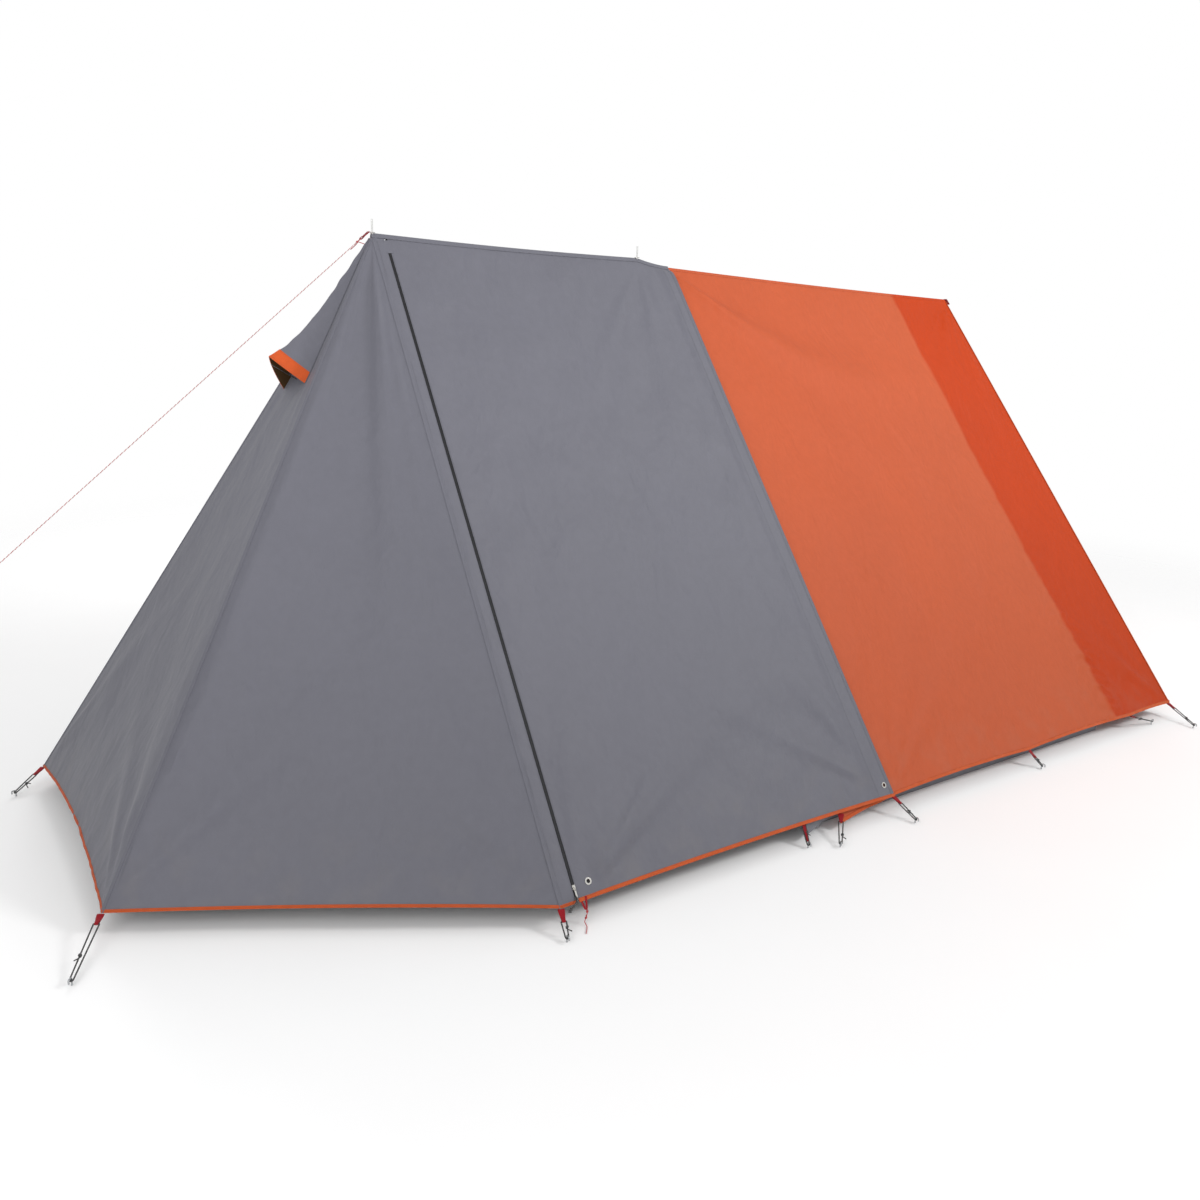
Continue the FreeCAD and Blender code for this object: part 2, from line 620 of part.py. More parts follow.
def main():
    os.makedirs("parts", exist_ok=True)
    make_front()
    make_ridge_tape()
    for name, side in SIDES:
        make_facing(name, side)
        make_door(name, side)
        make_zips(name, side)
        make_cabin(name, side)
    make_rear()
    make_ridge_eyelets()
    make_vent()
    make_inner_tent()
    make_hooks()
    make_poles()
    make_ground_kit()


main()
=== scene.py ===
import math

import bpy
import numpy as np
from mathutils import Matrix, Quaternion, Vector


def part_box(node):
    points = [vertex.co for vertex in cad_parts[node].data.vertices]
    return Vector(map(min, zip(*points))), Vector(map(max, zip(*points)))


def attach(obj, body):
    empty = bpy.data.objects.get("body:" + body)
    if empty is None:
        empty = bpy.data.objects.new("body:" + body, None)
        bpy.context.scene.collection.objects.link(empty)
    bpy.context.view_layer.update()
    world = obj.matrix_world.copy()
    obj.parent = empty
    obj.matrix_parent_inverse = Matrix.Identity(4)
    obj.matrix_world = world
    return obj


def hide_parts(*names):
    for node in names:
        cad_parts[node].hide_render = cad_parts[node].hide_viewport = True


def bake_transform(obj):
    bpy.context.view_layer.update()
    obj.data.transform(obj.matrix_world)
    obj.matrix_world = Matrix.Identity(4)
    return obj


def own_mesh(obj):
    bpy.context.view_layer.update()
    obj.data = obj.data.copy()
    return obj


# The looks of a ridge tent, built around its CAD frame, in metres. X runs rearwards along the ridge, -Y is
# the near side and Z is up. Places come from the frame; the sizes below are the cloth's and the trim's own.

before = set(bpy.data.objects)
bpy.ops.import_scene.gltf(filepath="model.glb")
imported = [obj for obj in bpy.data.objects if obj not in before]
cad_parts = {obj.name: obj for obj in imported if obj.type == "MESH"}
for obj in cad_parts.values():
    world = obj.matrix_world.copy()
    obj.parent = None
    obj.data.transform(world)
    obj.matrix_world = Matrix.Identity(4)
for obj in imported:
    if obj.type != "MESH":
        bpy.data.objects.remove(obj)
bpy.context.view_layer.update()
REARWARD, SIDEWAYS, UP = np.eye(3)
SIDES = (("near", -1), ("far", 1))

# Cloth
FABRIC = 0.0008
CELL = 0.012            # spacing of the cloth's grid
FOLD_GAP = 0.0025       # the CAD panels stop this far short of a fold
ZIP_TAPE = 0.014
ZIP_EDGE = 0.005        # cloth edge's distance from the middle of a zip
FLAP_OUT = 0.0065       # the door's rear margin stands this far out, over the rear zip
FLAP_START = 0.030      # and rises this far ahead of the rear zip
HINGE_START = 0.022     # two distances down the roof; the door's cloth is not turned between them
HINGE_END = 0.055
PANEL_SAG = 0.012       # taut panels dish inwards by this much
RIDGE_SAG = 0.005
SEAM_DIP = 0.018        # the ridge drops this far just behind the middle pole
CABIN_SAG = 0.004
HEM_SCALLOP = 0.007     # a hem rises by this much between two pegs
DOOR_SCALLOP = 0.006    # a door's hem rises by this much between its corners
EAVES_DROP = 0.025      # the cabin's hem hangs this much lower where the door overlaps it

# Trim
BINDING = 0.0095
PORCH_BINDING = 0.0070
BINDING_OUT = 0.0013
BINDING_UNDER = 0.0012  # a binding reaches this far below the edge it covers
SEAM_HALF = 0.005
TAPE_WIDTH = 0.015
STITCH_PITCH = 0.0042
STITCH_LENGTH = 0.0030
STITCH_RADIUS = 0.00042
STITCH_INSET = 0.0025   # a row of stitches' distance from its edge
TOOTH_PITCH = 0.0026
CORNER_STRAP = 0.018    # the strap at a door's corner hangs this far behind the zip
SPIKE_ABOVE_RIDGE = 0.040


# ---- Places in the frame

def low(node):
    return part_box(node)[0]


def high(node):
    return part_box(node)[1]


def middle(node):
    return (low(node) + high(node)) / 2


def vertices(node):
    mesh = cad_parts[node].data
    points = np.empty(len(mesh.vertices) * 3)
    mesh.vertices.foreach_get("co", points)
    return points.reshape(-1, 3)


def corner(node, *direction):
    """The vertex of a CAD node that lies farthest in a direction."""
    points = vertices(node)
    return points[np.argmax(points @ np.array(direction, float))]


def solids(node):
    """The separate solids of a CAD node, each as an array of its vertices."""
    points, index = np.unique(np.round(vertices(node), 6), axis=0, return_inverse=True)
    index = index.ravel()
    leader = list(range(len(points)))

    def find(i):
        while leader[i] != i:
            i = leader[i]
        return i

    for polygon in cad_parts[node].data.polygons:
        first, *others = [find(index[v]) for v in polygon.vertices]
        for other in others:
            leader[find(other)] = find(first)
    groups = {}
    for i in range(len(points)):
        groups.setdefault(find(i), []).append(points[i])
    return sorted((np.array(group) for group in groups.values()), key=lambda group: tuple(group.mean(0)))


def ends(points):
    """The middles of a long solid's two ends, the higher one first."""
    centre = points.mean(0)
    axis = np.linalg.svd(points - centre)[2][0]
    along = (points - centre) @ axis
    pair = [points[along < along.min() + 0.001].mean(0), points[along > along.max() - 0.001].mean(0)]
    return sorted(pair, key=lambda end: -end[2])


RIDGE = high("pole_spikes").z - SPIKE_ABOVE_RIDGE
HALF = high("door_far").y
HEM = corner("door_far", 0, 1, 0.5)[2]
RISE = RIDGE - HEM
SLOPE = math.hypot(RISE, HALF)

FRONT_POLE = middle("front_pole").x
MID_POLE = middle("mid_pole").x
FRONT_HEM = corner("front_panel", -1, 0, -0.5)[0]
FRONT_HALF = high("front_panel").y + FOLD_GAP
FRONT_SLOPE = math.hypot(RISE, FRONT_POLE - FRONT_HEM)
REAR_APEX = low("cabin_rear").x
REAR_RIDGE = high("cabin_rear").z + 0.006
REAR_HEM = high("cabin_rear").x
CABIN_HALF = high("cabin_far").y


def zip_line(node):
    """A zip's x at the ridge and at the hem, from the box of its half that lies behind the middle line."""
    lowest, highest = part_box(node)
    top_share = (RIDGE - highest.z) / RISE
    foot_share = (RIDGE - lowest.z) / RISE
    top, foot = lowest.x, highest.x - ZIP_TAPE
    rate = (foot - top) / (foot_share - top_share)
    return top - rate * top_share, foot + rate * (1 - foot_share)


FOLD = (FRONT_POLE, high("front_side_near").x + FOLD_GAP)
FRONT_ZIP = zip_line("front_zip_door_near")
REAR_ZIP = zip_line("rear_zip_fixed_near")
SEAM = (high("ridge_tape").x, high("rear_flap_near").x)
CABIN_FRONT = (low("cabin_near").x, corner("cabin_near", -0.3, -1, -1)[0])


# ---- Numbers and small geometry

def smooth(value):
    value = np.clip(value, 0.0, 1.0)
    return value * value * (3.0 - 2.0 * value)


def bump(value, centre, width):
    return np.exp(-((value - centre) / width) ** 2)


def unit(vectors):
    vectors = np.asarray(vectors, float)
    return vectors / np.linalg.norm(vectors, axis=-1, keepdims=True)


def on(line, down):
    """x on a line that leans across the roof, given as its x at the ridge and at the hem."""
    return line[0] + (line[1] - line[0]) * down / SLOPE


def roof_normal(side):
    return np.array((0.0, side * RISE / SLOPE, HALF / SLOPE))


def roof_fall(side):
    """The direction down the roof."""
    return np.array((0.0, side * HALF, -RISE)) / SLOPE


def roof(side, x, down, out=0.0):
    """Points on one roof plane, `down` the slope from the ridge and `out` from the plane."""
    x, down, out = np.broadcast_arrays(x, down, out)
    y = side * (HALF * down + RISE * out) / SLOPE
    z = RIDGE - (RISE * down - HALF * out) / SLOPE
    return np.stack((x, y, z), -1)


def ripples(u, v, seed, longest, shortest):
    """Smooth random relief of height about 1."""
    waves = 26
    rng = np.random.default_rng(seed)
    total = np.zeros(np.broadcast(u, v).shape)
    for _ in range(waves):
        angle, phase = rng.uniform(0, 2 * math.pi, 2)
        length = shortest * (longest / shortest) ** rng.random()
        total += np.sin((u * math.cos(angle) + v * math.sin(angle)) * 2 * math.pi / length + phase)
    return total / math.sqrt(waves)


def pleats(u, v, origin, toward, spread, count, reach, height, seed, curl=0.0):
    """Creases that fan out from a point where the cloth is pulled. Angles are from +u towards +v."""
    du, dv = u - origin[0], v - origin[1]
    radius = np.hypot(du, dv)
    angle = np.arctan2(dv, du) - math.radians(toward)
    angle = (angle + math.pi) % (2 * math.pi) - math.pi
    rng = np.random.default_rng(seed)
    relief = 0.0
    for _ in range(count):
        centre = math.radians(rng.uniform(-spread, spread))
        width = math.radians(spread) / count * rng.uniform(0.55, 1.2)
        relief = relief + rng.uniform(0.45, 1.0) * bump(angle, centre + curl * radius, width)
    swell = radius / reach * np.exp(1 - radius / reach)
    return height * swell * relief


def fans(u, v, seed, *rows):
    """Adds up fans of pleats, each a row of (seed offset, origin, toward, spread, count, reach, height)."""
    return sum(pleats(u, v, *shape, seed + offset) for offset, *shape in rows)


def dish(s, t, depth, ease_s=1.0, ease_t=1.0):
    """How a panel held at its edges hangs inwards between them."""
    return -depth * np.sin(math.pi * s) ** ease_s * np.sin(math.pi * t) ** ease_t


def bay(share):
    """An arch of height 1 between the two ends of a share."""
    return 4 * share * (1 - share)


# ---- Meshes

SOFT_ANGLE = math.radians(38.0)


def link(name, mesh, material):
    mesh.polygons.foreach_set("use_smooth", [True] * len(mesh.polygons))
    mesh.set_sharp_from_angle(angle=SOFT_ANGLE)
    mesh.materials.append(material)
    obj = bpy.data.objects.new(name, mesh)
    bpy.context.scene.collection.objects.link(obj)
    return obj


def place(obj, body, slot, *replaced):
    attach(obj, body)
    return tag(obj, slot, *replaced)


def tag(obj, slot, *replaced):
    if replaced:
        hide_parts(*replaced)
    return obj


def patch(grid, uv, outward, skip=None):
    return grid, uv, np.array(outward, float), skip


def grid_quads(rows, columns):
    """Quads between the points of a grid, as rows and columns of four indices."""
    index = np.arange(rows * columns).reshape(rows, columns)
    return np.stack((index[:-1, :-1], index[:-1, 1:], index[1:, 1:], index[1:, :-1]), -1)


def quad_normals(points, quads):
    a, b, c, d = (points[quads[:, k]] for k in range(4))
    return np.cross(c - a, d - b)


def lengths_along(path):
    steps = np.linalg.norm(np.diff(path, axis=0), axis=1)
    return np.concatenate(([0], np.cumsum(steps)))


def cloth(name, patches, material, thickness=FABRIC, inside_material=None):
    """One closed sheet over all the patches: an outer face, an inner face and the rim that joins them."""
    points, uvs, quads = [], [], []
    start = 0
    for grid, uv, outward, skip in patches:
        flat = grid.reshape(-1, 3)
        quad = grid_quads(*grid.shape[:2])
        quad = quad[~skip] if skip is not None else quad.reshape(-1, 4)
        if quad_normals(flat, quad).sum(0) @ outward < 0:
            quad = quad[:, ::-1]
        points.append(flat)
        uvs.append(uv.reshape(-1, 2))
        quads.append(quad + start)
        start += len(flat)
    points, uvs, quads = np.concatenate(points), np.concatenate(uvs), np.concatenate(quads)

    _, first, welded = np.unique(np.round(points, 5), axis=0, return_index=True, return_inverse=True)
    points = points[first]
    corners = welded.ravel()[quads]
    normals = np.zeros_like(points)
    for k in range(4):
        np.add.at(normals, corners[:, k], quad_normals(points, corners))
    normals /= np.maximum(np.linalg.norm(normals, axis=1, keepdims=True), 1e-12)

    outer = []
    edges = {}
    for quad, welded_quad in zip(quads.tolist(), corners.tolist()):
        kept = [k for k in range(4) if welded_quad[k] != welded_quad[k - 1]]
        if len(kept) < 3:
            continue
        face = [(welded_quad[k], quad[k]) for k in kept]
        outer.append(face)
        for a, b in zip(face, face[1:] + face[:1]):
            edges[a[0], b[0]] = (a, b)
    count = len(points)
    faces = [[v for v, _ in face] for face in outer]
    sources = [[s for _, s in face] for face in outer]
    faces += [[v + count for v, _ in reversed(face)] for face in outer]
    sources += [[s for _, s in reversed(face)] for face in outer]
    for (a, b), (first_corner, last_corner) in edges.items():
        if (b, a) not in edges:
            faces.append([b, a, a + count, b + count])
            sources.append([last_corner[1], first_corner[1], first_corner[1], last_corner[1]])
    mesh = bpy.data.meshes.new(name)
    mesh.from_pydata(np.concatenate((points, points - normals * thickness)).tolist(), [], faces)
    layer = mesh.uv_layers.new(name="Metres")
    layer.data.foreach_set("uv", uvs[[s for face in sources for s in face]].ravel())
    sheet = link(name, mesh, material)
    if inside_material:
        mesh.materials.append(inside_material)
        for polygon in mesh.polygons[len(outer):2 * len(outer)]:
            polygon.material_index = 1
    return sheet


class Batch:
    """Many small closed bodies gathered into one mesh."""

    def __init__(self):
        self.points, self.faces, self.uvs = [], [], []
        self.count = 0

    def add(self, points, faces, uvs):
        self.faces += (np.array(faces) + self.count).tolist()
        self.points.append(points)
        self.uvs.append(uvs)
        self.count += len(points)

    def sweep(self, path, normals, section, toward=None, scale=1.0):
        """Carries a section of (across, out) points along a path and closes both ends."""
        path, section = np.asarray(path, float), np.asarray(section, float)
        across, out = sides_of(path, normals)
        if toward is not None and (across @ toward).sum() < 0:
            across = -across
            section = section[::-1]
        sized = section[None] * np.broadcast_to(scale, (len(path), 2))[:, None]
        ring = path[:, None] + across[:, None] * sized[..., :1] + out[:, None] * sized[..., 1:]
        rows, columns = ring.shape[:2]
        index = np.arange(rows * columns).reshape(rows, columns)
        turned = np.roll(index, -1, axis=1)
        faces = np.stack((index[:-1], index[1:], turned[1:], turned[:-1]), -1).reshape(-1, 4).tolist()
        for k in range(columns // 2 - 1):
            cap = [k, k + 1, columns - 2 - k, columns - 1 - k]
            faces.append(cap)
            faces.append([v + (rows - 1) * columns for v in reversed(cap)])
        uv = np.stack(np.meshgrid(lengths_along(section), lengths_along(path)), -1).reshape(-1, 2)
        self.add(ring.reshape(-1, 3), faces, uv)

    def scatter(self, template, template_faces, places, axes):
        """Copies a template, given along three axes, to every place."""
        template = np.asarray(template, float)
        points = places[:, None] + np.einsum("ka,nab->nkb", template, axes)
        step = np.arange(len(places))[:, None, None] * len(template)
        faces = (np.asarray(template_faces)[None] + step).reshape(-1, 4)
        self.add(points.reshape(-1, 3), faces, np.tile(template[:, :2], (len(places), 1)))

    def stitches(self, path, normals, lift=0.0):
        """A row of sewn stitches along a path, each one dipping into the cloth at both ends."""
        places, axes = stations(path, normals, STITCH_PITCH)
        half, r = STITCH_LENGTH / 2, STITCH_RADIUS
        template = [(along, across, height + up) for along, height in ((-half, -r), (0, r * 0.8), (half, -r))
                    for across, up in ((-r, 0), (0, -r), (r, 0), (0, r))]
        self.scatter(template, box_faces(3, 4), places + axes[:, 2] * lift, axes)

    def build(self, name, material):
        mesh = bpy.data.meshes.new(name)
        mesh.from_pydata(np.concatenate(self.points).tolist(), [], self.faces)
        layer = mesh.uv_layers.new(name="Metres")
        layer.data.foreach_set("uv", np.concatenate(self.uvs)[[v for f in self.faces for v in f]].ravel())
        return link(name, mesh, material)


def box_faces(rings, sides):
    """Faces of a closed tube of several rings."""
    faces = []
    for ring in range(rings - 1):
        for k in range(sides):
            a, b = ring * sides + k, ring * sides + (k + 1) % sides
            faces.append([a, b, b + sides, a + sides])
    last = (rings - 1) * sides
    faces.append([3, 2, 1, 0])
    faces.append([last, last + 1, last + 2, last + 3])
    return faces


def sides_of(path, normals):
    """Across and out directions at every point of a path."""
    along = unit(np.gradient(path, axis=0))
    normals = np.broadcast_to(np.asarray(normals, float), path.shape)
    across = unit(np.cross(along, normals))
    return across, np.cross(across, along)


def stations(path, normals, pitch):
    """Evenly spaced places on a path, with their along, across and out axes."""
    path = np.asarray(path, float)
    across, out = sides_of(path, normals)
    length = lengths_along(path)
    at = np.arange(pitch / 2, length[-1], pitch)

    def sample(values):
        return np.stack([np.interp(at, length, values[:, k]) for k in range(3)], -1)

    along = unit(sample(unit(np.gradient(path, axis=0))))
    return sample(path), np.stack((along, unit(sample(across)), unit(sample(out))), 1)


def flat_section(inner, outer, bottom, top):
    """A flat band's section with eased corners, as (across, out)."""
    ease = min(outer - inner, top - bottom) * 0.3
    return [(inner, bottom + ease), (inner + ease, bottom), (outer - ease, bottom), (outer, bottom + ease),
            (outer, top - ease), (outer - ease, top), (inner + ease, top), (inner, top - ease)]


def band_section(width):
    """A flat band that stands a little out from the cloth, `width` wide."""
    return flat_section(-BINDING_UNDER, width, -BINDING_OUT - FABRIC, BINDING_OUT)


def seam_section(bottom, top):
    return flat_section(-SEAM_HALF, SEAM_HALF, bottom, top)


def round_section(radius, sides=8):
    turns = np.arange(sides) * 2 * math.pi / sides
    return np.stack((np.cos(turns) * radius, np.sin(turns) * radius), -1)


def apply_modifiers(obj):
    shown = obj.evaluated_get(bpy.context.evaluated_depsgraph_get())
    obj.data = bpy.data.meshes.new_from_object(shown)
    obj.modifiers.clear()


# ---- Materials

FLY_THREAD = 0.0016     # pitch of the fly's weave
GROUND_TAPE = 0.0035    # pitch of the groundsheet's tapes


class Shader:
    """A material whose nodes are added one call at a time."""

    def __init__(self, name):
        self.material = bpy.data.materials.new(name)
        self.material.use_nodes = True
        self.tree = self.material.node_tree
        self.tree.nodes.clear()
        coordinates = self.tree.nodes.new("ShaderNodeTexCoord")
        self.place = coordinates.outputs["Object"]
        self.uv = coordinates.outputs["UV"]

    def node(self, kind, output=0, settings=(), **inputs):
        made = self.tree.nodes.new("ShaderNode" + kind)
        for key, value in dict(settings).items():
            setattr(made, key, value)
        for key, value in inputs.items():
            numbered = key[0] == "i" and key[1:].isdigit()
            socket = made.inputs[int(key[1:]) if numbered else key.replace("_", " ")]
            if isinstance(value, bpy.types.NodeSocket):
                self.tree.links.new(value, socket)
            else:
                socket.default_value = value
        return made.outputs[output]

    def math(self, operation, a, b=0.0, c=0.0):
        return self.node("Math", settings={"operation": operation}, i0=a, i1=b, i2=c)

    def split(self, vector):
        parts = self.tree.nodes.new("ShaderNodeSeparateXYZ")
        self.tree.links.new(vector, parts.inputs[0])
        return parts.outputs

    def times(self, a, b):
        return self.math("MULTIPLY", a, b)

    def line(self, value, rate, start):
        return self.math("MULTIPLY_ADD", value, rate, start)

    def noise(self, scale, detail=2.0, stretch=None, distortion=0.0):
        vector = self.place
        if stretch:
            vector = self.node("Mapping", Vector=vector, Scale=stretch)
        return self.node("TexNoise", Vector=vector, Scale=scale, Detail=detail, Distortion=distortion)

    def mix(self, share, a, b):
        return self.node("Mix", output=2, settings={"data_type": "RGBA"}, i0=share, i6=a, i7=b)

    def span(self, value, start, end, low_value=0.0, high_value=1.0):
        """Maps start..end smoothly on to low_value..high_value."""
        settings = {"interpolation_type": "SMOOTHSTEP"}
        limits = {"i1": start, "i2": end, "i3": low_value, "i4": high_value}
        return self.node("MapRange", settings=settings, i0=value, **limits)

    def vary(self, colour, value, amount):
        """Scales a colour up and down by `amount` with a value about 0.5."""
        level = self.line(self.math("SUBTRACT", value, 0.5), amount * 2, 1.0)
        settings = {"data_type": "RGBA", "blend_type": "MULTIPLY"}
        return self.node("Mix", output=2, settings=settings, i0=1.0, i6=colour, i7=level)

    def raise_by(self, height, distance, normal=None):
        inputs = {"Height": height, "Distance": distance}
        if normal is not None:
            inputs["Normal"] = normal
        return self.node("Bump", **inputs)

    def finish(self, shader):
        output = self.tree.nodes.new("ShaderNodeOutputMaterial")
        self.tree.links.new(shader, output.inputs["Surface"])
        return self.material

    def surface(self, base, rough, normal=None, **inputs):
        if normal is not None:
            inputs["Normal"] = normal
        return self.node("BsdfPrincipled", Base_Color=base, Roughness=rough, **inputs)


def rgba(red, green, blue):
    """A colour given as it looks on screen, 0 to 255, as the linear colour that nodes work in."""
    linear = [((c / 255 + 0.055) / 1.055) ** 2.4 if c > 10 else c / 255 / 12.92 for c in (red, green, blue)]
    return (*linear, 1.0)


def weave(shader, x, y, pitch_x, pitch_y):
    """A plain weave over two coordinates: threads pass over and under each other."""
    warp = shader.math("SINE", shader.times(x, 2 * math.pi / pitch_x))
    weft = shader.math("SINE", shader.times(y, 2 * math.pi / pitch_y))
    return shader.line(shader.times(warp, weft), 0.5, 0.5)


def fly_cloth(name, colour, backlit=None, boundary=None, glow=0.12, gloss=0.42, shine=0.35, sheen=0.12):
    """Coated polyester: fine weave, packed-away creases, cloudy coating, a little light passing through, and
    painted shade that darkens the colour towards the hem.
    With a boundary the colour turns darker and more saturated beyond it, where no inner tent stands behind
    the cloth: painted back-light for the light that passes straight through there."""
    shader = Shader(name)
    x, _, z = shader.split(shader.place)
    cloud = shader.noise(2.2, 3.0)
    speck = shader.noise(38.0, 3.0)
    thread = weave(shader, *shader.split(shader.uv)[:2], FLY_THREAD, FLY_THREAD)
    base = colour
    if backlit is not None:
        edge = shader.math("SUBTRACT", x, shader.line(z, boundary[1], boundary[0]))
        wander = shader.times(shader.math("SUBTRACT", shader.noise(9.0, 2.0), 0.5), 0.03)
        edge = shader.math("ADD", edge, wander)
        # Painted back-light: past the boundary the base turns to the second colour.
        base = shader.mix(shader.span(edge, -0.010, 0.016), colour, backlit)
    # Painted shade: the colour runs darker towards the hem and lighter towards the ridge.
    base = shader.vary(base, shader.span(z, 0.0, 1.5, 0.39, 0.52), 1.0)
    base = shader.vary(base, cloud, 0.07)
    base = shader.vary(base, speck, 0.05)
    base = shader.vary(base, thread, 0.05)
    dust = shader.times(shader.span(z, 0.30, 0.05), shader.span(shader.noise(14.0, 4.0), 0.42, 0.75))
    base = shader.mix(shader.times(dust, 0.08), base, rgba(150, 140, 125))
    crease = shader.noise(7.0, 3.5, stretch=(1.0, 1.0, 0.45), distortion=0.4)
    crinkle = shader.noise(26.0, 4.0, stretch=(1.0, 1.0, 0.6), distortion=0.8)
    normal = shader.raise_by(crease, 0.012)
    normal = shader.raise_by(crinkle, 0.0018, normal=normal)
    normal = shader.raise_by(thread, 0.00012, normal=normal)
    skin = shader.surface(base, shader.line(cloud, 0.16, gloss), normal, Specular_IOR_Level=shine,
                          Sheen_Weight=sheen, Sheen_Roughness=0.45)
    through = shader.node("BsdfTranslucent", Color=base, Normal=normal)
    return shader.finish(shader.node("MixShader", Fac=glow, i1=skin, i2=through))


def band_cloth(name, colour, rib=0.0011, on_grid=True, sheen=0.2):
    """Ribbed tape: binding, webbing, zip tape. A CAD solid has no grid of its own, so its place is used."""
    shader = Shader(name)
    x, y, z = shader.split(shader.uv if on_grid else shader.place)
    woven = weave(shader, y if on_grid else z, x, rib, rib * 0.7)
    base = shader.vary(colour, shader.noise(30.0, 3.0), 0.16)
    base = shader.vary(base, woven, 0.18)
    normal = shader.raise_by(woven, 0.0002)
    normal = shader.raise_by(shader.noise(60.0, 2.0), 0.0006, normal=normal)
    rough = shader.line(shader.noise(20.0), 0.2, 0.6)
    return shader.finish(shader.surface(base, rough, normal, Specular_IOR_Level=0.25, Sheen_Weight=sheen))


def metal(name, colour, rough=0.25, brushed=(1.0, 1.0, 1.0)):
    """Bare or plated metal, scratched along the direction in which `brushed` is small, with faint stains."""
    shader = Shader(name)
    scratch = shader.noise(220.0, 4.0, stretch=brushed)
    base = shader.vary(colour, shader.noise(18.0, 3.0), 0.16)
    level = shader.line(scratch, 0.22, rough - 0.05)
    return shader.finish(shader.surface(base, level, shader.raise_by(scratch, 0.00008), Metallic=1.0))


def painted_metal(name, colour):
    """Powder coat with a fine orange peel, worn paler where the sections slide together."""
    shader = Shader(name)
    peel = shader.noise(900.0, 2.0)
    wear = shader.span(shader.noise(60.0, 4.0, stretch=(1.0, 1.0, 0.12)), 0.60, 0.78)
    base = shader.vary(colour, shader.noise(9.0), 0.10)
    base = shader.mix(shader.times(wear, 0.35), base, rgba(150, 150, 152))
    return shader.finish(shader.surface(base, shader.line(peel, 0.15, 0.34), shader.raise_by(peel, 0.00015),
                                        Metallic=shader.times(wear, 0.6), Coat_Weight=0.15))


def moulded(name, colour):
    """Moulded plastic with a fine spark-eroded grain."""
    shader = Shader(name)
    grain = shader.noise(1400.0, 2.0)
    base = shader.vary(colour, shader.noise(45.0, 3.0), 0.2)
    rough = shader.line(shader.noise(90.0, 3.0), 0.25, 0.38)
    normal = shader.raise_by(grain, 0.00012)
    return shader.finish(shader.surface(base, rough, normal, Specular_IOR_Level=0.45))


def braided(name, colour, fleck, share=0.5):
    """Braided cord: two sets of strands that cross, some of them in the fleck colour."""
    shader = Shader(name)
    x, y, _ = shader.split(shader.uv)
    turns = (shader.line(y, 2200.0, shader.times(x, lean)) for lean in (900.0, -900.0))
    one, two = (shader.math("SINE", turn) for turn in turns)
    braid = shader.math("MAXIMUM", one, two)
    spots = shader.span(shader.times(one, two), 1.0 - 2 * share, 1.2 - 2 * share)
    base = shader.vary(shader.mix(spots, colour, fleck), shader.noise(70.0), 0.2)
    return shader.finish(shader.surface(base, 0.62, shader.raise_by(braid, 0.0002), Sheen_Weight=0.2))


def woven_sheet(name, colour):
    """Groundsheet: flat woven tapes under a film, scuffed and dusty."""
    shader = Shader(name)
    tapes = weave(shader, *shader.split(shader.uv)[:2], GROUND_TAPE, GROUND_TAPE)
    base = shader.vary(colour, shader.noise(5.0, 4.0), 0.16)
    base = shader.vary(base, tapes, 0.16)
    scuff = shader.span(shader.noise(22.0, 5.0), 0.58, 0.75)
    base = shader.mix(shader.times(scuff, 0.18), base, rgba(150, 148, 142))
    normal = shader.raise_by(shader.noise(16.0, 3.0), 0.004)
    normal = shader.raise_by(tapes, 0.0003, normal=normal)
    return shader.finish(shader.surface(base, shader.line(scuff, 0.25, 0.34), normal))


def floor_material():
    """Pale studio floor that fades into the pale surroundings."""
    shader = Shader("studio_floor")
    x, y, _ = shader.split(shader.place)
    away = shader.math("SQRT", shader.line(x, x, shader.times(y, y)))
    base = shader.vary(rgba(252, 252, 252), shader.noise(3.0, 4.0), 0.012)
    solid = shader.surface(base, 0.85, Specular_IOR_Level=0.1)
    clear = shader.node("BsdfTransparent")
    return shader.finish(shader.node("MixShader", Fac=shader.span(away, 2.6, 6.5), i1=solid, i2=clear))


# The inner tent's rear wall shows through the cabin's cloth as the edge of a painted back-light, a darker and
# more saturated orange behind it: x = a + b z.
INNER_TOP = corner("inner_wall_rear", 0, 0, 1)
INNER_FOOT = corner("inner_wall_rear", 0, 0, -1)
SHADE_RATE = (INNER_TOP[0] - INNER_FOOT[0]) / (INNER_TOP[2] - INNER_FOOT[2])
SHADE_SHIFT = 0.011
SHADE_LINE = (INNER_TOP[0] - SHADE_RATE * INNER_TOP[2] + SHADE_SHIFT, SHADE_RATE)

GREY = fly_cloth("grey_fly_cloth", rgba(116, 116, 126))
# ORANGE's second colour is painted back-light, used on the cabin's cloth behind the inner tent's rear wall.
ORANGE = fly_cloth("orange_fly_cloth", rgba(212, 101, 62), rgba(206, 70, 20), SHADE_LINE, glow=0.16,
                   shine=0.16, sheen=0.0)
BINDING_TAPE = band_cloth("orange_binding_tape", rgba(184, 80, 34), sheen=0.06)
RIM_TAPE = band_cloth("vent_rim_tape", rgba(216, 92, 40), sheen=0.06)
